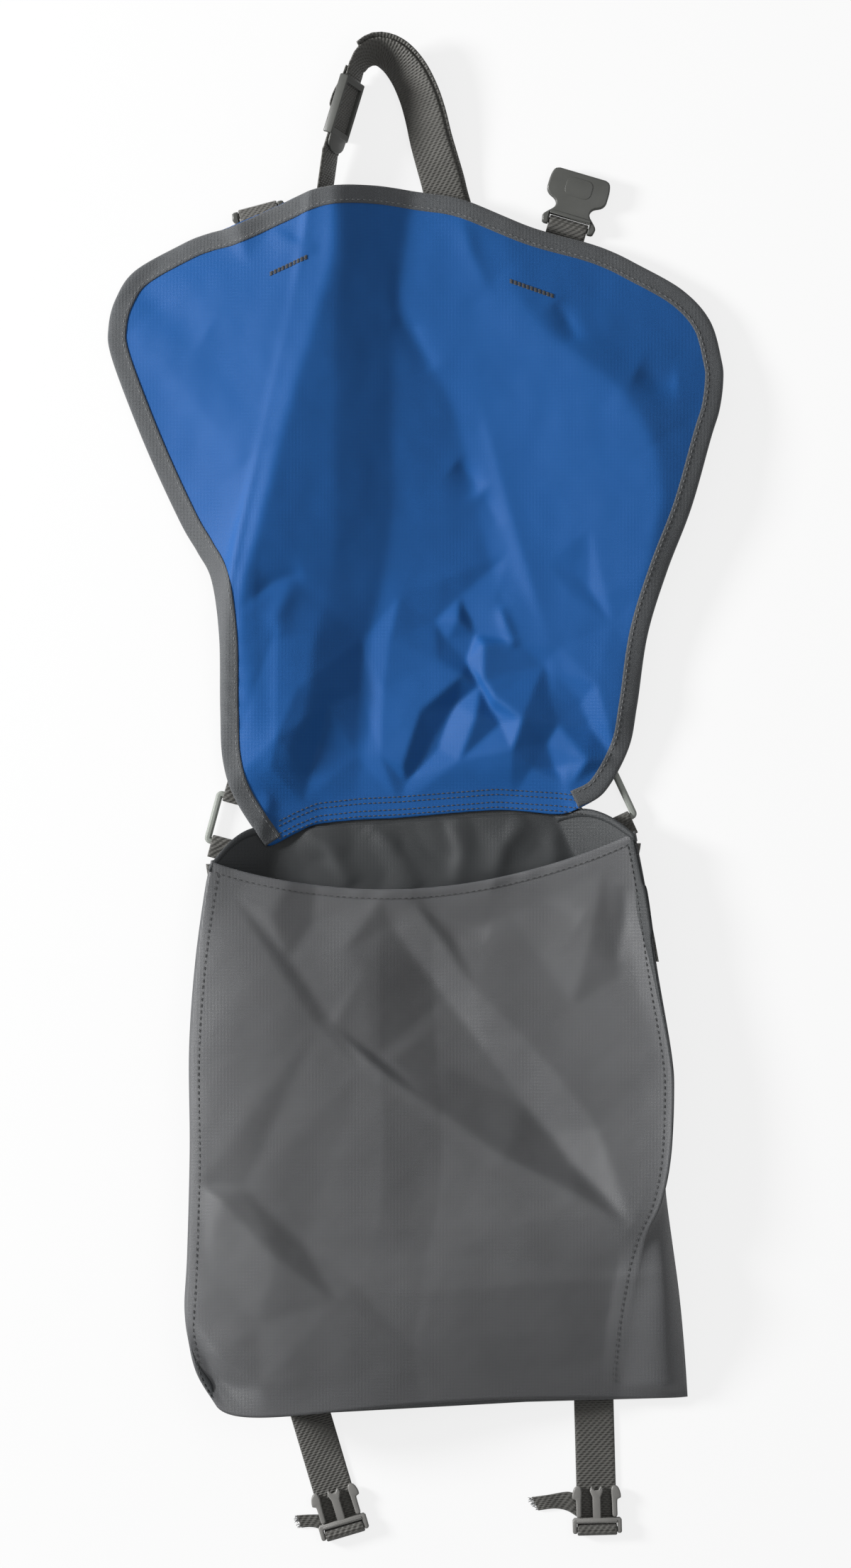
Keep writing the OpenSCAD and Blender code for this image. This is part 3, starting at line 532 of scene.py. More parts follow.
def plastic_material(name, colour, roughness, grain):
    """Moulded acetal: smooth with a faint spark-eroded grain that breaks up the highlights."""
    made, tree = new_material(name)
    place = add_node(tree, "ShaderNodeTexCoord").outputs["Object"]
    fine = add_node(tree, "ShaderNodeTexNoise", [(place, "Vector")], Scale=1800.0)
    tone = varied(tree, place, colour, 0.92, 1.08, 80.0)
    return finished(made, tree, tone, fine.outputs["Fac"], grain, 0.0002, Roughness=roughness)


def thread_material(name, colour):
    """Bonded polyester thread: dull, with a slight change of tone along it."""
    made, tree = new_material(name)
    place = add_node(tree, "ShaderNodeTexCoord").outputs["Object"]
    tone = varied(tree, place, colour, 0.85, 1.15, 700.0)
    shader = add_node(tree, "ShaderNodeBsdfPrincipled", [(tone, "Base Color")], Roughness=0.6)
    add_node(tree, "ShaderNodeOutputMaterial", [(shader.outputs[0], "Surface")])
    return made


def make_materials():
    c = bpy.context.scene.bag_colours
    cloths = {
        "flap": ("coated_nylon_blue", 0.52, 0.3, 0.0, 0.94, 1.07, 1.2, 0.16),
        "body": ("nylon_charcoal", 0.5, 0.35, 0.1, 0.93, 1.08, 1.5, 0.4),
        "lining": ("nylon_lining_dark", 0.55, 0.4, 0.1, 0.85, 1.1, 1.0),
        "tape": ("binding_tape_grey", 0.62, 0.7, 0.25, 0.88, 1.1, 0.8),
    }
    for key, (name, *finish) in cloths.items():
        MATERIALS[key] = cloth_material(name, list(getattr(c, key)), *finish)
    MATERIALS["webbing"] = webbing_material("nylon_webbing", list(c.webbing))
    MATERIALS["fitting"] = plastic_material("acetal_black_moulded", list(c.fitting), 0.36, 0.25)
    MATERIALS["ring"] = plastic_material("acetal_grey_moulded", list(c.ring), 0.4, 0.2)
    MATERIALS["tongue"] = plastic_material("acetal_light_grey_moulded", list(c.tongue), 0.42, 0.25)
    MATERIALS["thread"] = thread_material("polyester_thread", list(c.thread))
    MATERIALS["thread_dark"] = thread_material("polyester_thread_dark", [x * 0.4 for x in c.thread])


# ---------------------------------------------------------------- where things lie

MOUTH = (4.0, -18.0)
MOUTH_TURN = math.radians(3)


def at_mouth(x, y):
    return (MOUTH[0] + x * math.cos(MOUTH_TURN) - y * math.sin(MOUTH_TURN),
            MOUTH[1] + x * math.sin(MOUTH_TURN) + y * math.cos(MOUTH_TURN))


def past_fold(points):
    return ((points[:, 1] - MOUTH[1]) * math.cos(MOUTH_TURN)
            - (points[:, 0] - MOUTH[0]) * math.sin(MOUTH_TURN))


PLY_STEP = 1.8
RING_BAR = 4.2
RING_L = 30.0
LOOP_Z = RING_BAR / 2 + 0.3 + WEB_T + 0.1
RINGS = {-1: ((-116.5, -35.0), -15.0), 1: ((124.5, -21.8), 25.0)}


def ring_ahead(side):
    return -heading(RINGS[side][1])


def ring_low(side):
    return np.array(RINGS[side][0])


def ring_high(side):
    return ring_low(side) + RING_L * ring_ahead(side)


def leg_end(side, past):
    return ring_high(side) + (20 + past) * ring_ahead(side)


# Stops of the strap: x, y, slant in degrees, extra lift
LEFT_RUN = [
    (-101.5, 24, 8, 0), (-100.5, 45, 22, 0), (-101, 75, 38, 0), (-102, 105, 50, 0), (-101.5, 135, 58, 0),
    (-98, 165, 65, 0), (-92, 200, 70, 0), (-84, 235, 70, 0), (-76.5, 268, 70, 0), (-69, 302, 70, 0),
    (-62, 340, 70, 0), (-57.5, 372, 70, 1.5), (-53.5, 400, 70, 3.8),
]
RUN_END = (-37.0, 454.0)
STRAP_ROWS = 220
RIGHT_RUN = [
    (-32, 461.5, 62, 2), (-24, 465, 52, 0), (-14.5, 461.5, 42, 0), (-6, 452, 34, 0), (0.5, 439, 28, 0),
    (5, 425, 23, 0), (8.5, 410, 19, 0), (12.5, 396, 14, 0), (16, 384, 10, 0), (19, 372, 8, 0),
    (26.6, 346, 6, 0), (36.8, 301, 6, 0), (48, 256.7, 6, 0), (59, 212, 8, 0), (71.2, 167.4, 8, 0),
    (84.6, 122.8, 8, 0), (96.5, 80, 6, 0), (97.5, 52, 3, 0),
]


def strap_stop(stop, plies):
    x, y, slant, lift = stop
    s = math.radians(slant)
    z = 0.3 + lift + WEB_W / 2 * math.sin(s) + (WEB_T / 2 + (plies - 1) * PLY_STEP) * math.cos(s)
    return (x, y, z, slant)


def strap_route():
    """The strap's stops from the left ring to the right one, and how many come before its doubled part."""
    start = np.array(LEFT_RUN[-1][:2])
    way = unit(np.array(RUN_END) - start)
    length = np.linalg.norm(np.array(RUN_END) - start)
    run = [(*(start + t * way), LEFT_RUN[-1][2], LEFT_RUN[-1][3]) for t in (3, length - 3, length)]
    single = [(*leg_end(-1, 0.25), 0, 0), (*leg_end(-1, 5), 0, 0)] + LEFT_RUN + run
    double = RIGHT_RUN + [(*leg_end(1, 5), 0, 0), (*leg_end(1, 0.25), 0, 0)]
    return [strap_stop(s, 1) for s in single] + [strap_stop(s, 2) for s in double], len(single)


def band_frames(stops, lift=0.0, aside=0.0):
    """Place, across and up along a route of x, y, z and slant."""
    s = np.array(stops, float)
    ahead = unit(np.gradient(s[:, :3], axis=0))
    side = unit(np.stack([-ahead[:, 1], ahead[:, 0], np.zeros(len(s))], axis=1))
    slant = np.radians(s[:, 3])[:, None]
    across = unit(side * np.cos(slant) + np.array([0, 0, 1]) * np.sin(slant))
    up = np.cross(ahead, across)
    place = s[:, :3] + up * lift + across * aside
    return list(zip(place, across, up))


# The sockets' bars and how far their tabs are turned
LEFT_BAR, LEFT_TAB_TURN = (-98.9, 365.6, 4.3), 14.9
RIGHT_BAR, RIGHT_TAB_TURN = (96.3, 356.3, 4.8), -16.4
BAR_R, BAR_HALF = 1.75, 13.2
# How tightly a strap turns round one of these bars, and round a ring's
TURN_R, RING_TURN_R = 2.85, 3.2
# Closure straps: where each folds, its turn and its length to the buckle's bar
CLOSURES = {-1: (-66.7, -391.96, 16.5, 78.5), 1: (112.7, -383.982, 1.5, 82.5)}
MALE_Z = 3.71
PRONG_L = 18.5

# ---------------------------------------------------------------- flap surface

ROOT_ENDS = (-99, -12), (99, 2)
FLAP_LEFT = [
    (-113, -6), (-121, 19), (-122.5, 51), (-123, 96), (-128, 132), (-137, 150), (-147, 167), (-164, 203),
    (-179, 239), (-192, 275), (-193.5, 292), (-189, 310), (-176.6, 328), (-146, 345),
]
FLAP_TIP = [(-130.5, 350.8), (-114, 355), (-86, 367), (-60, 377), (-27, 379.5), (5.6, 376), (31.5, 371),
            (72.5, 354.5), (107, 345), (122.8, 339.5)]
FLAP_RIGHT = [
    (119, -1), (134, 26), (139.5, 54), (146, 98), (158, 137.5), (173, 177), (185.5, 221), (191, 239),
    (193.5, 257), (192.6, 270.5), (185.5, 295.5), (168, 315), (138, 332),
]
# The seam at the flap's root, where its stitching runs
ROOT_X = (-88.6, -75, -62, -35, -11, 51, 90, 115)
ROOT_Y = (-34, -27, -21.5, -18.5, -17.4, -12.5, -15, -18)
FLAP_T = 2.1


def flap_outline(count):
    """The whole free edge of the flap, from its left root up, across the tip and down to its right root."""
    start, end = (at_mouth(*p) for p in ROOT_ENDS)
    line = [start] + FLAP_LEFT + FLAP_TIP + FLAP_RIGHT[::-1] + [end]
    return smooth_curve(line, count)


def ridge_lines():
    """Where the strap's high edge pushes the flap up: x, y, height and the flat half width there."""
    s = smooth_curve(strap_route()[0], STRAP_ROWS)
    lines = []
    for (place, across, _), slant in zip(band_frames(s), np.radians(s[:, 3])):
        edge = place + across * (WEB_W / 2) * max(math.sin(slant), 0) ** 0.5
        high = place[2] + WEB_W / 2 * math.sin(slant) + WEB_T / 2
        lines.append((edge[0], edge[1], high + 1.0, WEB_W / 2 * math.cos(slant)))
    return np.array(lines)


def over_line(points, line, left, right, round_by):
    """Height of cloth laid over a line of x, y, height, half width, with a slope to each side."""
    best = np.full(len(points), -1e3)
    for k in range(len(line) - 1):
        a, b = line[k], line[k + 1]
        ab = b[:2] - a[:2]
        ap = points - a[:2]
        f = np.clip(ap @ ab / max(ab @ ab, 1e-9), 0, 1)
        off = ap - f[:, None] * ab
        d = np.linalg.norm(off, axis=1)
        cross = ab[0] * ap[:, 1] - ab[1] * ap[:, 0]
        half = a[3] + f * (b[3] - a[3])
        high = a[2] + f * (b[2] - a[2])
        d = np.maximum(0, d - half)
        slope = np.where(cross >= 0, left, right)
        best = np.maximum(best, high - slope * (np.sqrt(d * d + round_by ** 2) - round_by))
    return best


# Cross sections of the flap as it drapes over the strap: y, then x and height of the left edge, the left
# slope's middle, the ridge over the strap's high edge, the end of the gentle part, the end of the steep
# part, the valley beside the other leg of the strap, the crest on that leg, the right plateau's end and
# the right edge
SECTIONS = [
    (390, [(-130, 3), (-110, 11), (-52, 30), (-46, 28.5), (-15, 14.5), (0, 9), (30, 11), (60, 8), (100, 3)]),
    (372, [(-130, 3), (-105, 12), (-51.5, 30), (-46, 28.5), (-15, 14.5), (-2, 9.5), (30, 12), (60, 10),
           (100, 4)]),
    (337, [(-160, 1), (-110, 14), (-51.5, 30), (-46, 28.3), (-15, 14.5), (-8, 11), (40, 14), (58, 15),
           (128, 9)]),
    (300, [(-193, 1), (-130, 14.5), (-61.5, 30.2), (-50, 28), (-15, 14), (-9, 11), (44, 15), (72, 18),
           (182, 9)]),
    (245, [(-181, 1.2), (-130, 14), (-77.3, 30.2), (-50, 25.5), (-15, 12.5), (22, 6), (60, 11), (134, 23),
           (192, 14)]),
    (195, [(-160, 2), (-124, 15.5), (-90.5, 29.6), (-50, 22), (-14, 9.5), (35, 3.6), (72, 10), (154, 24),
           (179, 19)]),
    (160, [(-142, 4), (-120, 16.5), (-100, 28.2), (-50, 19), (-16, 8), (43.5, 2.6), (80, 9), (150, 21),
           (167, 17)]),
    (127, [(-127, 9), (-118, 18), (-109, 25.4), (-54, 16.5), (-22, 6.5), (52, 2.2), (88, 7.5), (143, 18),
           (155, 15)]),
    (91, [(-123, 12), (-118, 16), (-110, 21), (-64, 18.5), (-30, 5), (60, 6.5), (92, 9.5), (134, 15),
          (145, 13)]),
    (50, [(-122, 10), (-117, 12), (-108, 14.5), (-68, 16.5), (-28, 3.5), (60, 8.5), (94, 10), (130, 13),
          (139, 11)]),
    (17, [(-121, 9), (-115, 9.5), (-104, 10.5), (-80, 12.5), (-34, 3), (60, 7), (100, 9.5), (122, 10),
          (130, 9.5)]),
    (-8, [(-110, 8), (-104, 8), (-94, 7), (-60, 2.4), (-37, 1.8), (58, 1.8), (102, 7), (115, 8.2), (122, 8)]),
    (-40, [(-110, 5), (-104, 5), (-94, 4), (-60, 1.5), (-37, 1.5), (58, 1.5), (102, 5), (115, 6), (122, 6)]),
]


# The flap's crumples over the fold: x, y and height over the drape. The first dozen hold its rim at
# nothing; then the left ridge with its dark side, the cushion, the hollow in the middle, the crease that
# runs down from the valley, the big hollow and the ball of cloth east of it, and the pulls at the right
CRUMPLE_CORNERS = [
    (-128, 150, 0), (-60, 165, 0), (0, 150, 0), (60, 150, 0), (110, 165, 0), (165, 150, 0), (150, 60, 0),
    (140, -20, 0), (60, -8, 0), (-10, -10, 0), (-70, -8, 0), (-128, -10, 0), (-74, 64, 4), (-87, 33, 6.5),
    (-91, 14, 4.5), (-55, 54, -1.5), (-61, 28, -5), (-67, 9, -2.5), (-10, 122, 0), (-16, 95, 3),
    (-20, 63, 3.5), (-22, 22, 1), (29, 72, 2.5), (3, 50, 4), (-8, 16, 2), (25, 55, -5), (12, 28, -6),
    (-6, 5, -2), (38, 46, 3.5), (28, 19, 2), (17, 133, 0), (28, 122, -2.5), (38, 98, -3), (12, 106, -2.5),
    (20, 95, -3), (32, 81, -3), (41, 66, -3), (48, 52, -3), (54, 42, -2), (14, 82, 2), (27, 108, 1.5),
    (50, 122, 1), (43, 92, 4), (64, 94, 0.5), (81, 79, -3), (103, 55, -5.5), (111, 39, -4.5), (90, 41, -1),
    (83, 30, -2.5), (88, 14, -4.5), (73, 14, 0), (61, 26, 5), (67, 45, 7.5), (50, 58, 5), (43, 69, 3.5),
    (114, 67, 2.5), (121, 42, 2), (90, 90, 0.5), (108, 19, 5), (126, 20, -1), (97, 1, 1), (84, 143, 0),
    (100, 135, -1.8), (109, 128, -2.4), (124, 105, -0.6), (97, 124, 1), (120, 122, 0.4), (-86, 104, 1.5),
    (-72, 128, -1), (-33, 95, -0.5), (-35, 63, -2), (-37, 22, -1.5),
]
CRUMPLE_CREASES = [
    (12, 13), (13, 14), (15, 16), (16, 17), (18, 19), (19, 20), (20, 21), (22, 23), (23, 24), (22, 25),
    (25, 26), (26, 27), (28, 29), (30, 31), (31, 32), (33, 34), (34, 35), (35, 36), (36, 37), (37, 38),
    (32, 35), (42, 43), (43, 44), (44, 45), (45, 46), (46, 47), (47, 48), (48, 49), (50, 51), (51, 52),
    (52, 53), (53, 54), (54, 42), (61, 62), (62, 63), (63, 64), (69, 70), (70, 71),
]


# Long folds of the flap: stops, height, width to the east and the west, and sharpness, as fold() takes them
FLAP_FOLDS = [
    # a diagonal roll across the left corner, and the dent beyond it
    ([(-176, 292), (-140, 250), (-106, 206)], 2.2, 22, 12, 2),
    ([(-186, 322), (-156, 302), (-132, 288)], -2.2, 12, 14, 2),
    # the sewn ends of the tabs show as faint steps
    ([(-90, 352), (-66, 336)], 1.2, 3, 9, 2),
    ([(-70, 348), (-63, 335)], 1.0, 3, 9, 2),
    # the loose edge of the strap's right leg, and the corner that falls away past it
    ([(28, 362), (36, 336), (47, 312)], 2.0, 6, 9, 1.5),
    ([(-14, 296), (-2, 290), (12, 266)], -1.6, 5, 8, 1.4),
    ([(47, 316), (86, 278), (127, 254), (151, 219)], 2.6, 26, 16, 2),
    ([(139, 262), (152, 256), (164, 256)], -2.4, 9, 9, 2),
    ([(88, 306), (94, 298), (102, 282)], -2.2, 5, 7, 1.5),
    # little hollows where the valley ends against the strap
    ([(26, 206), (36, 198), (42, 190)], -2.6, 5, 9, 1.5),
    ([(42, 186), (50, 178), (56, 168)], -2.0, 4, 6, 1.5),
    ([(53, 116), (57, 104), (63, 90)], 2.8, 3.5, 3.5, 1.4),
    # crease where the ridge dies out at the edge
    ([(-71, 137), (-90, 130), (-112, 112)], -1.8, 4, 6, 1.4),
    ([(-76, 132), (-86, 110), (-84, 96)], 2.0, 8, 6, 1.8),
]


def flap_creases(points):
    """Creases and crumples of the flap over its long drape, in millimetres."""
    z = folds(points, FLAP_FOLDS) + lump(points, -104, 60, 2.5, 9, 26)
    z += facets(points, CRUMPLE_CORNERS, CRUMPLE_CREASES)
    return z + (bumps(points, 120, 3) * 0.7 + bumps(points, 52, 8) * 0.45 + bumps(points, 22, 5) * 0.24)


MAP_STEP = 1.0
MAP_LOW = (-205.0, -50.0)
MAP_SIZE = (411, 441)
FLAP_MAP = []


def blurred(field, sigma):
    reach = int(3 * sigma) + 1
    kernel = np.exp(-0.5 * (np.arange(-reach, reach + 1) / sigma) ** 2)
    kernel /= kernel.sum()
    for axis in (0, 1):
        padded = np.concatenate([np.repeat(np.take(field, [0], axis), reach, axis), field,
                                 np.repeat(np.take(field, [-1], axis), reach, axis)], axis)
        field = sum(k * np.take(padded, np.arange(field.shape[axis]) + n, axis) for n, k in enumerate(kernel))
    return field


def draped_sections(x, y):
    """Height of the long drape on a grid of x and y."""
    ys, sections = zip(*sorted(SECTIONS))
    last = len(ys) - 1
    sections = np.array(sections, float)
    fine = []
    for y0 in y:
        k = min(max(np.searchsorted(ys, y0) - 1, 0), last - 1)
        f = min(max((y0 - ys[k]) / (ys[k + 1] - ys[k]), 0), 1)
        knots = eased_between(*(sections[min(max(k + o, 0), last)] for o in (-1, 0, 1, 2)), f)
        fine.append(np.interp(x, knots[:, 0], knots[:, 1]))
    return np.array(fine)


def make_flap_map():
    x = MAP_LOW[0] + MAP_STEP * np.arange(MAP_SIZE[0])
    y = MAP_LOW[1] + MAP_STEP * np.arange(MAP_SIZE[1])
    gx, gy = np.meshgrid(x, y)
    points = np.stack([gx.ravel(), gy.ravel()], axis=1)
    drape = blurred(draped_sections(x, y), 2.2)
    depth = past_fold(points).reshape(gx.shape)
    drape += flap_creases(points).reshape(gx.shape) * ease((depth - 4) / 26)
    # what the cloth lies on holds it up
    line = ridge_lines()
    half = len(line) // 2
    held = over_line(points, line[:half + 4:3], 1.6, 2.4, 2.0)
    held = np.maximum(held, over_line(points, line[half::3], 0.6, 0.6, 3.0))
    for side in (-1, 1):
        low, high = ring_low(side), leg_end(side, 0)
        over = np.array([(*low, 8.4, 14.0), (*ring_high(side), 8.9, 15.0), (*high, 5.0, 12.0)])
        held = np.maximum(held, over_line(points, over, 0.9, 0.9, 4.0))
    for bar, turn, top, reach in ((LEFT_BAR, LEFT_TAB_TURN, 15.8, 24), (RIGHT_BAR, RIGHT_TAB_TURN, 4.4, 30)):
        way = heading(turn)
        over = np.array([(*(bar[:2] - 4 * way), top, 13.0), (*(bar[:2] + reach * way), top, 13.0)])
        held = np.maximum(held, over_line(points, over, 0.8, 0.8, 4.0))
    held = held.reshape(gx.shape)
    lowest = soft = 1.2
    drape = np.maximum(drape, lowest)
    top = np.maximum(drape, held) + 0.5 * soft * np.exp(-np.abs(drape - held) / soft)
    return blurred(top, 0.8)


def flap_height(points):
    """Height of the flap's underside over the surface, at each x and y."""
    if not FLAP_MAP:
        FLAP_MAP.append(make_flap_map())
    table = FLAP_MAP[0]
    fx = np.clip((points[:, 0] - MAP_LOW[0]) / MAP_STEP, 0, MAP_SIZE[0] - 1.001)
    fy = np.clip((points[:, 1] - MAP_LOW[1]) / MAP_STEP, 0, MAP_SIZE[1] - 1.001)
    i, j = fx.astype(int), fy.astype(int)
    a, b = fx - i, fy - j
    return ((table[j, i] * (1 - a) + table[j, i + 1] * a) * (1 - b)
            + (table[j + 1, i] * (1 - a) + table[j + 1, i + 1] * a) * b)


def flap_patch(rows, cols):
    """Plan of the flap as a grid of rows from root to tip, drawn in between its four edges."""
    start, end = (at_mouth(*p) for p in ROOT_ENDS)
    left = smooth_curve([start] + FLAP_LEFT + FLAP_TIP[:1], rows)
    right = smooth_curve([end] + FLAP_RIGHT + FLAP_TIP[-1:], rows)
    root = smooth_curve([start, *zip(ROOT_X[:-1], ROOT_Y[:-1]), end], cols)
    return drawn_between(left, right, root, smooth_curve(FLAP_TIP, cols))


def lifted(plan, extra):
    """Points of a plan raised to the flap's underside and some millimetres more."""
    z = flap_height(plan.reshape(-1, 2)).reshape(plan.shape[:-1])
    return np.concatenate([plan, (z + extra)[..., None]], axis=-1)


# ---------------------------------------------------------------- body surface

SWELL = {
    "front_left": [(0, -5), (0.06, -1), (0.2, 5), (0.36, 8.5), (0.55, 8), (0.75, 9.5), (0.86, 11),
                   (0.94, 6), (1, -6)],
    "front_right": [(0, 4.5), (0.11, 12), (0.24, 18.5), (0.39, 27.5), (0.46, 29), (0.57, 27), (0.65, 21),
                    (0.72, 10), (0.85, 1), (1, -5)],
    "back_left": [(0, -50), (0.25, -27), (0.5, -13), (0.75, -8), (0.9, -9), (1, -18)],
    "back_right": [(0, -46), (0.25, -6), (0.5, 18), (0.68, 26.5), (0.82, 33.5), (0.92, 37), (1, 39)],
}
TOPS = {"front_left": -44, "front_right": -25.5, "back_left": -24, "back_right": -13.5}
ENDS = {"left": -372, "right": -383}
MOUTH_W, MOUTH_D, BASE_D = 266, 24, 36
LOW_CORNER_Z = 9


def edge_point(name, s):
    """A point on one of the body's four long seams, s from the mouth to the bottom."""
    sign = -1 if name.endswith("left") else 1
    knots = smooth_swell(name)
    x = sign * (MOUTH_W / 2 + np.interp(s, knots[0], knots[1]))
    y = TOPS[name] + s * (ENDS["left" if sign < 0 else "right"] - TOPS[name])
    z = seam_height(sign, s) if name.startswith("front") else np.zeros_like(s)
    return np.stack([x, y, z], axis=-1)


def seam_height(side, s):
    """Height of a front seam: the right one comes down to the surface at the bottom corner."""
    if side < 0:
        return MOUTH_D + (BASE_D - MOUTH_D) * s
    return np.interp(s, [0, 0.5, 0.66, 0.78, 0.88, 1], [24, 30.7, 33.5, 31, 22, LOW_CORNER_Z])


def smooth_swell(name):
    p = smooth_curve([(a * 100, b) for a, b in SWELL[name]], 120)
    return p[:, 0] / 100, p[:, 1]


def bottom_bow(u):
    return 20 * np.sin(np.pi * u ** 0.35) * (1 - u)


def hem_y(u):
    return TOPS["front_left"] + u * (TOPS["front_right"] - TOPS["front_left"]) - 27 * np.sin(np.pi * u) ** 0.8


def panel(name, rows, cols):
    """The front or back panel as a grid of rows from the mouth to the bottom seam."""
    s, u = np.linspace(0, 1, rows + 1), np.linspace(0, 1, cols + 1)
    left, right = edge_point(name + "_left", s), edge_point(name + "_right", s)
    top, low = (left[k] + u[:, None] * (right[k] - left[k]) for k in (0, -1))
    if name == "front":
        top[:, 1] = hem_y(u)
    low[:, 1] -= bottom_bow(u)
    return drawn_between(left, right, top, low)


def front_swell(s, u):
    """The front hangs between its seams at the mouth and swells over its contents' room below."""
    return -9 * np.sin(np.pi * u) ** 0.7 * (1 - s) + 9 * np.sin(np.pi * u ** 0.8) * s


def gusset_edges(side, y):
    """The points of a gusset's front and back seams at each height down the side."""
    hand = "left" if side < 0 else "right"
    return [edge_point(f"{seam}_{hand}", np.clip((y - top) / (ENDS[hand] - top), 0, 1))
            for seam, top in ((seam, TOPS[f"{seam}_{hand}"]) for seam in ("front", "back"))]


def gusset(side, rows, cols):
    """One gusset as rows from the mouth to the bottom, columns from the front seam to the back seam."""
    hand = "left" if side < 0 else "right"
    a = np.linspace(0, 1, cols + 1)
    dome = 11 if side < 0 else 9
    top = (TOPS["front_" + hand] - 2) * (1 - a) + (TOPS["back_" + hand] - 2) * a + dome * np.sin(np.pi * a)
    t = np.linspace(0, 1, rows + 1)[:, None]
    y = top[None] * (1 - t) + ENDS[hand] * t
    f, b = gusset_edges(side, y)
    p = f * (1 - a[:, None]) + b * a[:, None]
    p[..., 1] = y
    return p


def inner_folds(points):
    """Soft wrinkles of the back cloth where it shows in the mouth, in millimetres."""
    z = folds(points, [
        ([(-101, -30), (-91, -45), (-86, -58)], 3.2, 4, 7, 1.4),
        ([(-70, -24), (-52, -40), (-40, -60)], 3.4, 8, 5, 1.6),
        ([(-30, -22), (-14, -36), (2, -62)], 2.8, 5, 9, 1.6),
        ([(22, -20), (30, -38), (26, -60)], 3.0, 9, 6, 1.6),
        ([(70, -18), (56, -34), (50, -56)], 3.4, 6, 9, 1.6),
        ([(96, -18), (88, -32), (92, -48)], 2.6, 5, 5, 1.5),
    ])
    return z + np.abs(bumps(points, 46, 31)) * 1.6 + 0.2


# The front's facets: x, y and height over its smooth swell. The first dozen lie on its seams, which the
# facets leave alone; then the crease from the mouth's left corner, the upper hollow, the long ridge, the
# foot of its dark flank, the lower left diagonal, the tucked corner and the right side
FRONT_CORNERS = [
    (-190, -20, 0), (-60, -20, 0), (60, -20, 0), (190, -10, 0), (185, -150, 0), (190, -290, 0),
    (180, -430, 0), (60, -430, 0), (-60, -430, 0), (-175, -430, 0), (-170, -290, 0), (-180, -150, 0),
    (-115, -65, 0), (-79.5, -105, -3), (-54, -143, -2), (-86, -110, 0.6), (-61, -148, 0.8), (-90, -79, 1.5),
    (-64, -83, -4), (-44, -100, -0.5), (-21, -68, 0), (-15, -85, -3.5), (19, -131, -7.5), (-26, -167, -2.5),
    (-44, -153, -1.6), (-32, -112, 0), (-3, -66, 1), (37, -124, 1.5), (10, -150, -5), (-51, -147, -0.8),
    (-29, -167, 3.2), (13, -200, 6), (55, -229.5, 6), (100, -252, 5), (137, -276, 1), (-33, -174, 2.2),
    (9, -207, 3.2), (51.5, -236.5, 3.4), (97, -259, 2.8), (-14, -168, -1.5), (22, -174, -5), (46, -166, -6.5),
    (68.5, -197, -9), (85, -216, -9), (98, -235, -7), (115, -251, -4), (72, -160, 1.5), (97, -188, 2.2),
    (114, -212, 1), (-136, -247, 0), (-121, -256, 3.5), (-86, -292, 5.5), (-50, -319, 2), (-107, -248, -3),
    (-70, -283, -5), (-36, -309, -1.5), (-130, -296, 0), (-98, -332, 0), (-140, -330, 0), (-124, -352, 2),
    (-96, -372, 1), (-93, -392, 0), (-136, -347, -4), (-116, -374, -6), (-104, -392, -4), (118, -51, 0),
    (109, -100, 2.5), (99, -136, 0.5), (128, -116, -2), (24, -92, -2.5), (60, -78, -2.5), (120, -300, -3),
    (118, -350, -2), (20, -290, 0), (0, -350, 1),
]
FRONT_CREASES = [
    (12, 13), (13, 14), (15, 16), (17, 18), (18, 13), (20, 21), (21, 22), (22, 23), (24, 25), (21, 25),
    (26, 27), (14, 29), (29, 30), (30, 31), (31, 32), (32, 33), (33, 34), (35, 36), (36, 37), (37, 38),
    (39, 40), (40, 41), (41, 42), (42, 43), (43, 44), (44, 45), (46, 47), (47, 48), (49, 50), (50, 51),
    (51, 52), (53, 54), (54, 55), (58, 59), (59, 60), (60, 61), (62, 63), (63, 64), (65, 66), (66, 67),
]


def front_tilt(s, u):
    """The front leans: it climbs quickly from the left seam, falls gently and climbs again at the right."""
    rise = 9.5 * np.sin(np.pi * np.clip(u / 0.52, 0, 1) ** 0.62) * (1 - 0.45 * ease((s - 0.45) / 0.35))
    fall = -9 * np.sin(np.pi * np.clip((1 - u) / 0.6, 0, 1) ** 0.7) * (1 - ease((s - 0.5) / 0.3))
    return (rise + fall) * (0.35 + 0.65 * ease(s / 0.2))


def body_folds(points, shape):
    """Facets and creases of the front panel, in millimetres, on its own grid of points."""
    z = blurred(facets(points, FRONT_CORNERS, FRONT_CREASES).reshape(shape), 0.9).ravel()
    # smudges under the hem
    z += folds(points, [
        ([(-4, -68), (18, -80), (46, -90)], -2.2, 7, 8, 1.6),
        ([(50, -58), (76, -66), (104, -80)], -2.2, 7, 9, 1.6),
        ([(132, -60), (131, -84), (127, -108)], -2.0, 6, 6, 1.5),
    ])
    z += bumps(points, 90, 21) * 1.0 + bumps(points, 38, 17) * 0.4 + bumps(points, 18, 4) * 0.12
    return z.reshape(shape)


# ---------------------------------------------------------------- operators

# The view from above: its centre and the length that it takes in, in millimetres, and metres for the rest
VIEW_CENTRE, VIEW_LENGTH = (6.47, 4.0), 2212 / 2.24
CAMERA_UP = 3.0
FLOOR_HALF = 20


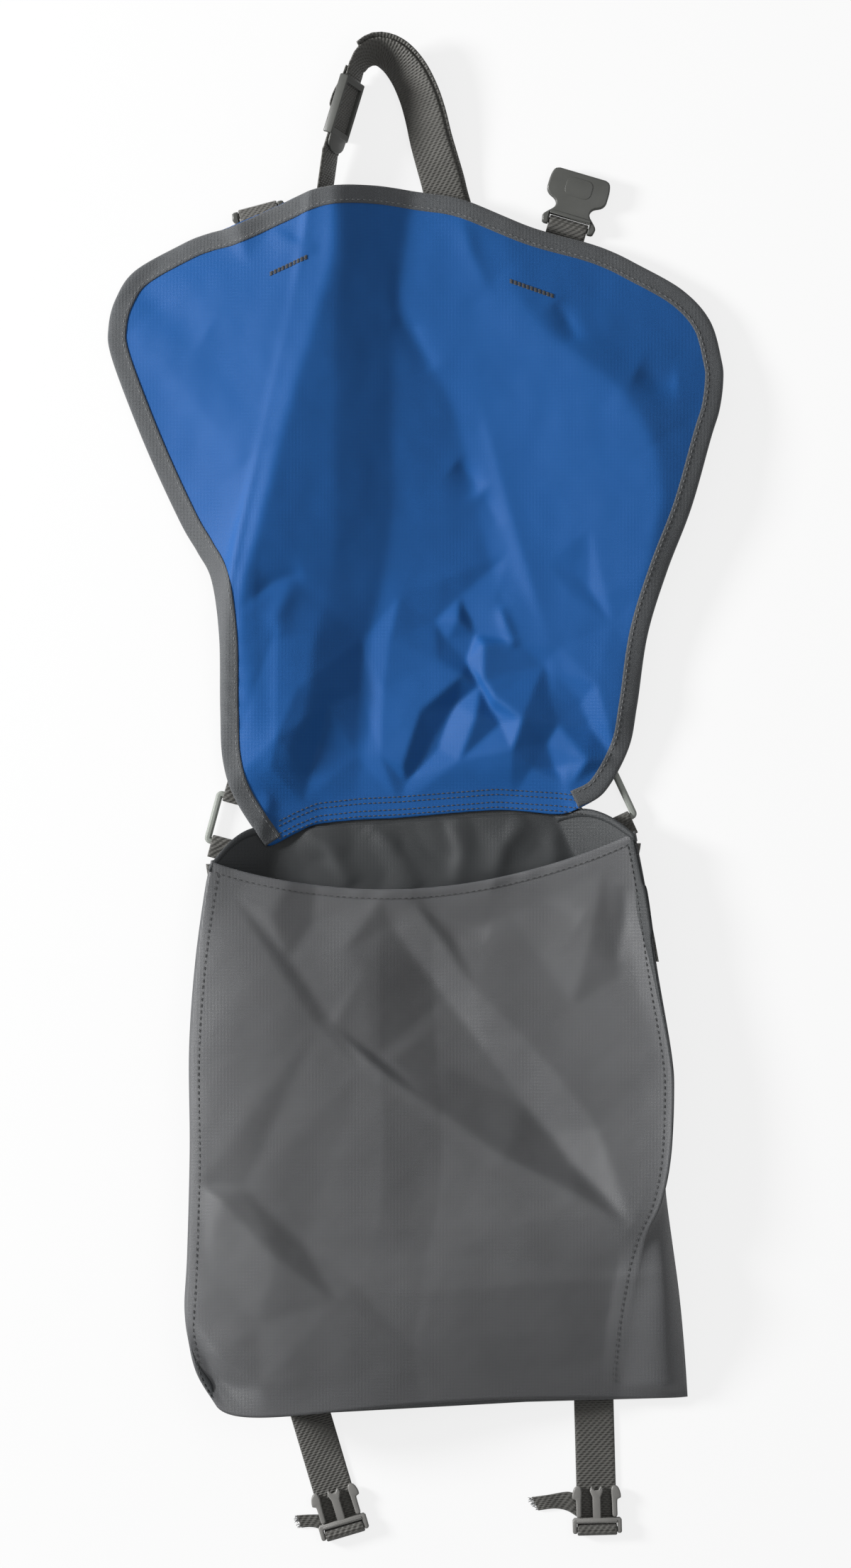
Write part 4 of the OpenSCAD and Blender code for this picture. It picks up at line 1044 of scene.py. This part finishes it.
class BAG_OT_stage(bpy.types.Operator):
    """Floor, soft lamps and the camera above the bag"""
    bl_idname = "bag.stage"
    bl_label = "Stage"

    def execute(self, context):
        scene = context.scene
        bm = bmesh.new()
        bmesh.ops.create_grid(bm, x_segments=1, y_segments=1, size=FLOOR_HALF)
        mesh = bpy.data.meshes.new("floor")
        bm.to_mesh(mesh)
        bm.free()
        floor = bpy.data.objects.new("floor", mesh)
        floor.location = (0, 0, -0.0004)
        context.collection.objects.link(floor)
        # a matt white floor that the camera sees as nearly plain white, with the bag's shadow on it
        made, tree = new_material("pale_floor")
        seen = add_node(tree, "ShaderNodeLightPath").outputs["Is Camera Ray"]
        plain = add_node(tree, "ShaderNodeBsdfDiffuse", Color=(0.86, 0.86, 0.86, 1))
        bright = add_node(tree, "ShaderNodeEmission", Color=(1, 1, 1, 1), Strength=1.0)
        share = maths(tree, "MULTIPLY", seen, 0.8)
        mixed = add_node(tree, "ShaderNodeMixShader",
                         [(share, 0), (plain.outputs[0], 1), (bright.outputs[0], 2)])
        add_node(tree, "ShaderNodeOutputMaterial", [(mixed.outputs[0], "Surface")])
        mesh.materials.append(made)

        world = bpy.data.worlds.new("soft_room")
        world.use_nodes = True
        for name, value in (("Color", (1, 1, 1, 1)), ("Strength", 0.3)):
            world.node_tree.nodes["Background"].inputs[name].default_value = value
        scene.world = world
        self.lamp(context, "key_lamp", (-2.55, 0.6, 1.2), 0.7, 119)
        self.lamp(context, "fill_lamp", (1.0, 0.4, 2.6), 1.8, 9)

        lens = bpy.data.cameras.new("above")
        lens.sensor_width = 36
        lens.lens = lens.sensor_width * CAMERA_UP / (VIEW_LENGTH * MM)
        lens.clip_end = 100
        camera = bpy.data.objects.new("above", lens)
        camera.location = (*(c * MM for c in VIEW_CENTRE), CAMERA_UP + 0.01)
        context.collection.objects.link(camera)
        scene.camera = camera
        scene.view_settings.view_transform = "Standard"
        return {"FINISHED"}

    @staticmethod
    def lamp(context, name, place, size, power):
        data = bpy.data.lights.new(name, "AREA")
        data.shape = "DISK"
        data.size = size
        data.energy = power
        lamp = bpy.data.objects.new(name, data)
        lamp.location = place
        lamp.rotation_euler = (-Vector(place)).to_track_quat("-Z", "Y").to_euler()
        context.collection.objects.link(lamp)


class BAG_OT_flap(bpy.types.Operator):
    """The flap's outer cloth, its lining and the tape round its edge"""
    bl_idname = "bag.flap"
    bl_label = "Flap"

    def execute(self, context):
        self.cloth("flap_cloth", FLAP_T - 0.5, "flap", "flap_blue", ["flap_shell"])
        self.cloth("flap_inner_cloth", 0.4, "lining", "cloth_black", ["flap_lining"])
        self.binding()
        self.seams()
        return {"FINISHED"}

    def cloth(self, name, height, finish, slot, nodes):
        plan = flap_patch(210, 180)
        # the cut edge stays just inside the tape
        middle = plan.mean(axis=(0, 1))
        for edge in (plan[:, 0], plan[:, -1], plan[-1]):
            edge += unit(middle - edge) * 4.0
        piece = finish_piece(grid_mesh(lifted(plan, height)), name, MATERIALS[finish], FLAP_FOLD, nodes)
        modifier(piece, "SOLIDIFY", thickness=0.8 * MM, offset=0.0)

    def binding(self):
        outline = flap_outline(760)
        ahead = unit(np.gradient(outline, axis=0))
        inward = np.stack([ahead[:, 1], -ahead[:, 0]], axis=1)
        # the tape's section: distance in from the edge and height, over the cloth, round the edge and back
        over = [(11.5, 0.0), (11.3, 0.55), (10.2, 0.8), (8.6, 0.55), (5.8, 0.85), (3.0, 0.75), (1.0, 0.55),
                (0.1, 0.0)]
        under = [(-0.2, 1.0), (0.1, 0.1), (1.0, -0.45), (4.0, -0.45), (8.0, -0.35), (11.2, -0.3), (11.5, 0.1)]
        ring = [(t, FLAP_T + h) for t, h in over] + under + [(over[0][0], FLAP_T)]
        share = sizes().binding_width / MM / TAPE_W
        points = np.stack([lifted(outline + inward * t * share, h) for t, h in ring], axis=1)
        bm = tube(points, (run_length(np.array(ring)), run_length(outline)))
        finish_piece(bm, "flap_tape", MATERIALS["tape"], FLAP_FOLD, ["flap_binding"])
        lines = [lifted(outline + inward * 9.4 * share, FLAP_T + 0.75)]
        stitches("flap_tape_stitches", lines, FLAP_FOLD, thick=0.35)

    def seams(self):
        """Rows of stitching: the band near the root and the bars that hold the tabs."""
        lines, bars = [], []
        for off in (0.0, 3.2, 8.0, 11.2):
            x = np.linspace(-86, 112, 90)
            y = np.interp(x, ROOT_X, ROOT_Y) + 2 + off
            lines.append(lifted(np.stack([x, y], axis=1), FLAP_T + 0.15))
        for a, b in (((-91.3, 323.7), (-66.7, 334.4)), ((59.2, 320), (89.5, 309.4))):
            bars += [lifted(np.linspace(a, b, 24) + np.array([0, off]), FLAP_T + 0.15)
                     for off in (-0.9, 0.0, 0.9)]
        stitches("flap_seam_stitches", lines, FLAP_FOLD, "thread_dark", 0.38, 2.2, 0.9)
        stitches("flap_bar_stitches", bars, FLAP_FOLD, "thread_dark", 0.5, 2.6, 0.1)


class BAG_OT_body(bpy.types.Operator):
    """The sagging body: front, gussets, back and bottom sewn into one shell, with its hems"""
    bl_idname = "bag.body"
    bl_label = "Body"

    def execute(self, context):
        rows, wide, narrow = 180, 150, 22
        front, back = panel("front", rows, wide), panel("back", rows, 74)
        left, right = gusset(-1, rows, narrow), gusset(1, rows, narrow)
        s = np.linspace(0, 1, rows + 1)[:, None]
        u = np.linspace(0, 1, wide + 1)[None]
        flat = front[..., :2].reshape(-1, 2)
        calm = np.minimum(1, np.minimum(u, 1 - u) * 22) * np.minimum(1, (1 - s) * 16)
        front[..., 2] += front_swell(s, u) + front_tilt(s, u) + body_folds(flat, front.shape[:2]) * calm - 0.4
        front[..., 2] = np.maximum(front[..., 2], 4.0)
        lie = inner_folds(back[..., :2].reshape(-1, 2)).reshape(back.shape[:2])
        v = np.linspace(0, 1, back.shape[1])[None]
        back[..., 2] = 0.55 + lie * (np.minimum(1, np.minimum(v, 1 - v) * 14) * np.exp(-(s / 0.2) ** 4))
        across = np.linspace(0, 1, narrow + 1)[None]
        for p in (left, right):
            p[..., 2] = np.maximum(p[..., 2] - 0.4 * (1 - across), 0.55)
        # low on the right the gusset lies out flat and turns down only at its back seam
        flat_out = ease((s - 0.55) / 0.3) * (1 - ease((s - 0.97) / 0.03) * 0.5)
        round_off = front[:, -1, 2][:, None] * (1 - across ** 9) + 0.55 * across ** 9
        round_off = np.maximum(round_off + 4 * np.sin(np.pi * across ** 1.4), 0.55)
        right[..., 2] += (round_off - right[..., 2]) * flat_out
        self.shell(front, back, left, right)
        self.under_flap(back[0])
        self.hem("mouth_hem", front, 6.4, 5.4, ["front_hem"])
        self.hem("left_gusset_hem", left, 5.0, 3.6)
        self.hem("right_gusset_hem", right, 5.0, 3.6)
        lines = [front[3:-3, 3] + np.array([0, 0, 0.6]), front[3:-3, -4] + np.array([0, 0, 0.6])]
        stitches("side_seam_stitches", lines, "bag", "thread_dark", 0.3)
        return {"FINISHED"}

    def shell(self, front, back, left, right):
        # one closed loop of columns: front, right gusset, back, left gusset
        loop = np.concatenate([front[:, :-1], right[:, :-1], back[:, ::-1][:, :-1], left[:, ::-1]], axis=1)
        loop[:, -1] = loop[:, 0]
        bm = grid_mesh(loop, True)
        # the bottom is filled in between the seams
        low = [e for e in bm.edges if e.is_boundary and all(v.co.y < -340 for v in e.verts)]
        bmesh.ops.holes_fill(bm, edges=low, sides=0)
        outward(bm)
        if sum(f.normal.z * f.calc_area() for f in bm.faces if f.calc_center_median().z > 12) < 0:
            bmesh.ops.reverse_faces(bm, faces=bm.faces)
        piece = finish_piece(bm, "bag_shell", [MATERIALS["body"], MATERIALS["lining"]], "bag",
                             ["back_panel", "front_panel", "left_gusset", "right_gusset", "bottom_panel"])
        modifier(piece, "SOLIDIFY", thickness=1.0 * MM, offset=-1.0, material_offset=1, use_even_offset=False)

    def under_flap(self, top):
        """The back cloth runs up under the flap to the seam that joins them."""
        rows = []
        for k in range(9):
            row = top.copy()
            row[:, 1] += -3 + k * 2.0
            under = np.maximum(flap_height(row[:, :2]) - 0.6, 0.7)
            row[:, 2] = np.minimum(0.9 + 1.4 * (k / 8), under)
            rows.append(row)
        bm = grid_mesh(np.array(rows))
        piece = finish_piece(bm, "back_top_cloth", MATERIALS["lining"], FLAP_FOLD)
        modifier(piece, "SOLIDIFY", thickness=0.7 * MM, offset=0.0)

    def hem(self, name, cloth, width, sewn, nodes=()):
        """A turned hem: the cloth folds in over its edge and is sewn down some millimetres below it."""
        cols = cloth.shape[1]
        step = np.linalg.norm(np.diff(cloth[:14], axis=0), axis=2)
        run = np.concatenate([np.zeros((1, cols)), np.cumsum(step, axis=0)])
        down = unit(cloth[6] - cloth[0])
        out = unit(np.cross(unit(np.gradient(cloth[0], axis=0)), down))
        middle = out[cols // 2]
        facing = {"mouth": middle[2], "left": -middle[0], "right": middle[0]}[name.split("_")[0]]
        out = out * np.sign(facing)

        def at(distance, lift):
            place = np.array([[np.interp(max(distance, 0), run[:, i], cloth[:14, i, c]) for c in range(3)]
                              for i in range(cols)])
            return place + out * lift + down * min(distance, 0)

        # the thread pulls the fold into little puckers
        pucker = 0.28 * np.sin(np.linspace(0, 60, cols) + 1.7 * np.sin(np.linspace(0, 17, cols)))[:, None]
        profile = [(width, -0.2, 0), (width - 0.3, 0.25, 0), (width - 1.0, 0.1, 0), (width * 0.6, 0.4, 1),
                   (1.2, 0.45, 1), (0.1, 0.2, 0.5), (-0.3, -0.4, 0), (0.1, -1.1, 0), (1.5, -1.5, 0),
                   (width * 0.6, -1.5, 0), (width, -1.3, 0), (width, -0.2, 0)]
        points = np.stack([at(d, h) + out * pucker * k for d, h, k in profile], axis=1)
        finish = "body" if name == "mouth_hem" else "lining"
        finish_piece(tube(points), name, MATERIALS[finish], "bag", nodes)
        stitches(name + "_stitches", [at(sewn, 0.3)[2:-2]], "bag", "thread_dark", 0.32)


class BAG_OT_webbing(bpy.types.Operator):
    """The shoulder strap, its loops and tabs, and the closure straps"""
    bl_idname = "bag.webbing"
    bl_label = "Webbing"

    def execute(self, context):
        stops, doubled = strap_route()
        self.band("strap_ribbon", band_frames(smooth_curve(stops, STRAP_ROWS)), "strap", ["shoulder_strap"])
        second = band_frames(smooth_curve(stops[doubled:], 180), -PLY_STEP, 2.6)
        self.band("strap_second_layer", second, "strap", ["strap_return"])
        for side, hand in ((-1, "left"), (1, "right")):
            self.ring_pieces(side, hand)
            self.closure(side, hand)
        # each buckle's tab: its bar, its turn, and its path above the bar, round it and below it
        tabs = {
            "right": (RIGHT_BAR, RIGHT_TAB_TURN, [(28, 3.0), (18, 3.0), (9, 3.15), (5, 4.6)], (55, 280, 18),
                      [(5, 1.6), (9, 1.4), (18, 1.4), (28, 1.4)]),
            "left": (LEFT_BAR, LEFT_TAB_TURN, [(17, 14.0), (12, 14.0), (9, 13.8), (6.2, 12.2), (3.4, 10.2)],
                     (115, 300, 16), [(4.2, 5.2), (6.3, 9.0), (8.6, 11.7), (12, 12.4), (17, 12.4)]),
        }
        for hand, (bar, turn, above, bend, below) in tabs.items():
            path = above + arc((0, bar[2]), TURN_R, *bend) + below
            frames = upright_frames(bar[:2], heading(turn), smooth_curve(path, 120))
            self.band(hand + "_buckle_webbing", frames, "flap", [hand + "_buckle_tab"])
        return {"FINISHED"}

    def band(self, name, frames, body, nodes):
        bm = swept(frames, strap_profile(sizes().webbing_width / MM, sizes().webbing_thickness / MM))
        finish_piece(bm, name, MATERIALS["webbing"], body, nodes)

    def ring_pieces(self, side, hand):
        """The sewn tab, the loop round the ring's low bar and the strap's end round its high bar."""
        low, ahead, turn = ring_low(side), ring_ahead(side), RINGS[side][1]
        depth = past_fold(low[None])[0] + 20
        slant = math.cos(math.radians(turn - 3))
        reach = depth / slant + 0.4
        path = ([(-reach, LOOP_Z + 0.8), (-5, LOOP_Z + 0.9), (-3.6, LOOP_Z + 1.6)]
                + arc((0, LOOP_Z), RING_TURN_R, 125, -125, 20)
                + [(-3.6, LOOP_Z - 1.6), (-5, LOOP_Z - 0.9), (-reach, LOOP_Z - 0.8)])
        self.band(hand + "_ring_webbing", upright_frames(low, ahead, smooth_curve(path, 90)), "strap",
                  [hand + "_ring_loop"])
        path = ([(20, 0.9), (12, 0.9), (4, 0.9)] + arc((0, LOOP_Z), RING_TURN_R, -90, -285, 18)
                + [(5.5, 4.4), (8.5, 2.9), (12, 2.5), (20, 2.5)])
        frames = upright_frames(ring_high(side), ahead, smooth_curve(path, 110))
        self.band(hand + "_strap_fold", frames, "strap", [hand + "_strap_end"])
        flat = low - ahead * (depth + WEB_T + 0.3) / slant
        stops = [[flat[0], flat[1], LOOP_Z, 1, 0, 0, 0, 0, -1]]
        for share, below in ((0.40, 18), (0.36, 34), (0.34, 52), (0.34, 74)):
            y = flat[1] - below
            f, b = gusset_edges(side, y) + np.array([[0, 0, -0.6], [0, 0, 1.5]])
            w = unit(np.array([b[0] - f[0], 0, b[2] - f[2]]))
            n = np.array([w[2], 0, -w[0]]) * (1 if w[2] * side > 0 else -1)
            c = f + share * (b - f) + n * 1.3
            stops.append([c[0], y, c[2], *(w * -side), *n])
        route = smooth_curve(np.array(stops), 70)
        frames = [(r[:3], unit(r[3:6]), unit(r[6:9])) for r in route]
        self.band(hand + "_tab_webbing", frames, "bag", [hand + "_ring_tab"])

    def closure(self, side, hand):
        x, y, turn, length = CLOSURES[side]
        way = heading(turn)
        path = ([(-2.0, 1.3), (1.5, 0.85), (8, 0.8), (length / 2, 0.8), (length - 10, 0.8), (length - 4, 0.8)]
                + arc((length, MALE_Z), TURN_R, -90, 205, 24))
        start, end = ((x + step * way[0], y + step * way[1], 0.8) for step in (-2, 6))
        self.band(hand + "_closure_webbing", upright_frames((x, y), way, smooth_curve(path, 150)),
                  ("bag", hand + "_closure", start, end), [hand + "_closure_strap"])
        self.tail(side, hand, turn, (x + length * way[0], y + length * way[1]))

    def tail(self, side, hand, turn, bar):
        """The strap's free end shows beside it, cut short and frayed."""
        if side < 0:
            top = [(0, 11.0), (-5, 12.4), (-10, 13.6), (-14, 14.4)]
            low = [(0, 0.2), (-3.5, 3.2), (-8, 5.2), (-13, 6.2)]
        else:
            top = [(0, 13.8), (-5, 15.8), (-17, 14.3), (-28, 12.9)]
            low = [(0, 0.2), (-6, 4.0), (-14, 5.6), (-24, 4.6)]
        rows, cols = 10, 36
        a, b = smooth_curve(top, cols), smooth_curve(low, cols)
        grid = np.array([[(*(b[i] + (a[i] - b[i]) * j / rows), 0.8) for i in range(cols + 1)]
                         for j in range(rows + 1)])
        grid[..., 0] -= 12.8
        grid[..., 1] += 3 if side < 0 else 8
        grid[..., 2] += 0.25 * np.sin(grid[..., 0] * 0.35)
        bm = grid_mesh(grid)
        bmesh.ops.solidify(bm, geom=bm.faces, thickness=1.2)
        placed(bm, (bar[0], bar[1], 0.55), turn)
        outward(bm)
        finish_piece(bm, hand + "_tail_webbing", MATERIALS["webbing"], hand + "_closure",
                     [hand + "_strap_tail"])
        # loose threads at the cut
        rng = random.Random(5 + side)
        bm = bmesh.new()
        tip_a, tip_b = grid[-1, -1], grid[0, -1]
        for _ in range(26):
            p = tip_a + (tip_b - tip_a) * rng.random()
            way = np.array([-1, rng.uniform(-0.9, 0.5), 0])
            length = rng.uniform(0.8, 2.6)
            stops = [p + way * length * f + np.array([0, rng.uniform(-0.3, 0.3) * f, rng.uniform(-0.3, 0.3)])
                     for f in (-0.4, 0.2, 0.6, 1.0)]
            line = smooth_curve(np.array(stops), 5)
            ahead = unit(np.gradient(line, axis=0))
            side_way = unit(np.cross(ahead, [0, 0, 1]))
            frames = list(zip(line, side_way, np.cross(side_way, ahead)))
            thread = swept(frames, [(0.16, 0), (0, 0.16), (-0.16, 0), (0, -0.16)])
            mesh = bpy.data.meshes.new("thread")
            thread.to_mesh(mesh)
            thread.free()
            bm.from_mesh(mesh)
            bpy.data.meshes.remove(mesh)
        placed(bm, (bar[0], bar[1], 0.0), turn)
        for vert in bm.verts:
            vert.co.z = max(vert.co.z, 0.15)
        finish_piece(bm, hand + "_tail_threads", MATERIALS["thread"], hand + "_closure")


class BAG_OT_fittings(bpy.types.Operator):
    """Rings, adjuster and the two halves of each buckle"""
    bl_idname = "bag.fittings"
    bl_label = "Fittings"

    def execute(self, context):
        for side, hand in ((-1, "left"), (1, "right")):
            self.ring(side, hand)
            bar, turn = (LEFT_BAR, LEFT_TAB_TURN + 180) if side < 0 else (RIGHT_BAR, RIGHT_TAB_TURN)
            self.socket(hand, bar, turn)
            self.male(side, hand)
        self.adjuster()
        return {"FINISHED"}

    def ring(self, side, hand):
        """A square ring of flat bars with broken edges, the same all round, also where the webbing turns."""
        half = RING_BAR / 2
        bar = [(-half, -1.1), (-1.1, -half), (1.1, -half), (half, -1.1), (half, 0.7), (0.9, half),
               (-0.9, half), (-half, 0.7)]
        middle = rounded(30.0, RING_L, 1.6, (0, RING_L / 2), 5)
        middle = np.array(middle + [middle[0], middle[1]])
        route = np.concatenate([middle, np.zeros((len(middle), 1))], axis=1)
        ahead = unit(np.roll(route, -1, axis=0) - np.roll(route, 1, axis=0))
        ahead[-1], ahead[0] = ahead[1], ahead[len(route) - 2]
        frames = [(p, np.array([d[1], -d[0], 0]), np.array([0, 0, 1.0]))
                  for p, d in zip(route[:-1], ahead[:-1])]
        frames.append(frames[0])
        bm = swept(frames, bar, False)
        bmesh.ops.remove_doubles(bm, verts=bm.verts, dist=1e-4)
        outward(bm)
        placed(bm, (*ring_low(side), LOOP_Z), RINGS[side][1])
        piece = finish_piece(bm, hand + "_ring_moulded", MATERIALS["ring"], "strap",
                             [hand + "_ring"])
        modifier(piece, "BEVEL", width=0.35 * MM, segments=2, limit_method="ANGLE", angle_limit=0.35)

    def socket(self, hand, bar, turn):
        """The female half: pinched waist with open side windows, a pocket and a bar for the webbing."""
        side = smooth_curve([(17.1, 0.4), (17.2, 2.5), (14.6, 5.5), (11.7, 8.5), (11.2, 11), (12.8, 13.8),
                             (17.0, 16), (19.1, 18.6), (19.5, 22), (19.2, 28), (17.8, 32.2),
    (14.8, 33.5)], 30)
        arm = [(12.8, 4.2), (12.8, -2.3), (14.0, -2.5), (15.7, -2.4), (16.8, -1.0)]
        right = arm + [tuple(p) for p in side]
        outline = right + flipped(right)
        bm = bmesh.new()
        moulded(bm, outline, 2.2, 4.0, 1.1, 0.15)
        moulded(bm, outline, -4.0, -2.2, 0.15, 1.1)
        # between the faces: the block behind the pocket and the two wings beside it
        block = [(12.8, 4.2), (12.8, -2.3), (16.6, -2.0), (17.0, 2.4), (14.4, 5.5), (11.6, 8.5)]
        moulded(bm, block + flipped(block), -2.3, 2.3, 0.1)
        wing = [(12.4, 16.0), (14.5, 15.6), (17.0, 16.4), (19.0, 19.0), (19.2, 22), (19.0, 28), (17.5, 32),
                (15.4, 33.1), (12.4, 33.2)]
        for shape in (wing, flipped(wing)):
            moulded(bm, shape, -2.3, 2.3, 0.1)
        # a raised lip over the webbing and a shallow panel on the face
        moulded(bm, [(-13.4, 4.4), (13.4, 4.4), (12.6, 6.6), (-12.6, 6.6)], 3.6, 4.75, 0.5, 0.1)
        moulded(bm, rounded(17, 12, 4, (0, 24)), 3.8, 4.3, 0.3, 0.05)
        rod(bm)
        placed(bm, bar, turn)
        finish_piece(bm, hand + "_socket_moulded", MATERIALS["fitting"], hand + "_socket",
                     [hand + "_female_buckle"])

    def male(self, side, hand):
        """The male half: a base with a bar, a forked guide and two springy prongs."""
        x, y, turn, length = CLOSURES[side]
        way = heading(turn)
        place = (x + length * way[0], y + length * way[1], MALE_Z)
        low, high = -1.75, 3.25
        base = [(12.8, 4.2), (12.8, -1.9), (13.6, -2.2), (14.8, -2.1), (15.5, -1.2), (15.5, 6.2), (14.4, 7.6)]
        bm = bmesh.new()
        moulded(bm, base + flipped(base), low, high, 0.9)
        lip = [(-12.6, 5.0), (12.6, 5.0), (12.6, 6.4), (-12.6, 6.4)]
        moulded(bm, lip, high - 0.2, high + 0.45, 0.3, 0.05)
        fork = [(2.6, 6.6), (2.6, 20.6), (4.2, 24.6), (3.2, 27.6), (2.4, 27.0), (1.2, 25.1)]
        moulded(bm, fork + flipped(fork), low + 0.5, high - 0.5, 0.8)
        rod(bm)
        placed(bm, place, turn)
        finish_piece(bm, hand + "_tongue_moulded", MATERIALS["tongue"], hand + "_tongue",
                     [hand + "_male_buckle"])
        tip = 1.6 + PRONG_L
        prong = smooth_curve([(1.6, 1.6), (1.6, tip - 11), (2.0, tip - 8.6), (3.9, tip - 7.9),
                              (3.7, tip - 4.5), (2.4, tip - 1.4), (0.4, tip - 0.2), (-1.4, tip - 0.8),
                              (-2.1, tip - 4), (-1.8, tip - 9), (-1.6, 1.6)], 34)
        root = arc((0, 1.6), 1.6, 180, 360, 9)[1:-1]
        outline = [tuple(p) for p in prong] + root
        for which, letter in ((-1, "a"), (1, "b")):
            shape = outline if which > 0 else flipped(outline)
            shape = [(a + which * 11.4, b + 7.9) for a, b in shape]
            bm = bmesh.new()
            moulded(bm, shape, low + 0.5, high - 0.5, 0.9)
            placed(bm, place, turn)
            finish_piece(bm, f"{hand}_prong_{letter}_moulded", MATERIALS["tongue"], f"{hand}_prong_{letter}",
                         [f"{hand}_male_prong_{letter}"])

    def adjuster(self):
        """The sliding adjuster: two rails, two bars above the webbing and one below, with a rounded lip."""
        start = np.array(LEFT_RUN[-1][:2])
        way = unit(np.array(RUN_END) - start)
        slant = LEFT_RUN[-1][2]
        c = strap_stop((*(start + 30 * way), slant, LEFT_RUN[-1][3]), 1)
        s = math.radians(slant)
        ahead = np.array([way[0], way[1], 0])
        across = np.array([-way[1] * math.cos(s), way[0] * math.cos(s), math.sin(s)])
        up = np.cross(ahead, across)
        bm = bmesh.new()
        for y in (-14.0, 14.0):
            moulded(bm, rounded(38, 2.4, 1.1, (0, y)), -2.9, 2.9, 0.7)
        for x in (-16.75, 16.75):
            moulded(bm, rounded(4.5, 28, 1.6, (x, 0)), 1.1, 2.9, 0.7)
        moulded(bm, rounded(4.4, 28, 1.6), -2.9, -1.1, 0.7)
        lip = [(-17, -13), (-24, -12.4), (-27.5, -8), (-28.4, 0), (-27.5, 8), (-24, 12.4), (-17, 13)]
        moulded(bm, [tuple(p) for p in smooth_curve(lip, 30)][::-1], 1.2, 2.7, 0.6)
        outward(bm)
        frame_of = Matrix([[ahead[k], across[k], up[k], c[k]] for k in range(3)] + [[0, 0, 0, 1]])
        bm.transform(frame_of)
        finish_piece(bm, "adjuster_moulded", MATERIALS["fitting"], "adjuster",
                     ["strap_adjuster"])
        # the strap's end turns round the middle bar
        path = ([(25, -1.9), (17, -2.6), (8, -4.6), (3, -5.0)] + arc((0, -2.0), 2.95, 270, 150, 12))
        line = smooth_curve(path, 60)
        places = np.array([np.array(c[:3]) + ahead * a + up * z for a, z in line])
        heads = unit(np.gradient(places, axis=0))
        frames = [(p, across, np.cross(d, across)) for p, d in zip(places, heads)]
        bm = swept(frames, strap_profile(WEB_W - 0.6, 1.3))
        finish_piece(bm, "adjuster_webbing", MATERIALS["webbing"], "adjuster")


class BAG_PT_panel(bpy.types.Panel):
    """Lists the bag's pieces in the sidebar"""
    bl_idname = "BAG_PT_panel"
    bl_label = "Messenger Bag"
    bl_space_type = "VIEW_3D"
    bl_region_type = "UI"
    bl_category = "Bag"

    def draw(self, context):
        for one in CLASSES:
            if issubclass(one, bpy.types.Operator):
                self.layout.operator(one.bl_idname)
        for group in (context.scene.bag_colours, context.scene.bag_sizes):
            box = self.layout.box()
            for key in group.__annotations__:
                box.prop(group, key)


CLASSES = (BagColours, BagSizes, BAG_OT_stage, BAG_OT_body, BAG_OT_flap, BAG_OT_webbing, BAG_OT_fittings,
           BAG_PT_panel)


def register():
    for one in CLASSES:
        bpy.utils.register_class(one)
    bpy.types.Scene.bag_colours = bpy.props.PointerProperty(type=BagColours)
    bpy.types.Scene.bag_sizes = bpy.props.PointerProperty(type=BagSizes)


def unregister():
    del bpy.types.Scene.bag_sizes
    del bpy.types.Scene.bag_colours
    for one in reversed(CLASSES):
        bpy.utils.unregister_class(one)


def main():
    register()
    make_materials()
    bpy.ops.bag.stage()
    bpy.ops.bag.body()
    bpy.ops.bag.flap()
    bpy.ops.bag.webbing()
    bpy.ops.bag.fittings()


if __name__ == "__main__":
    main()
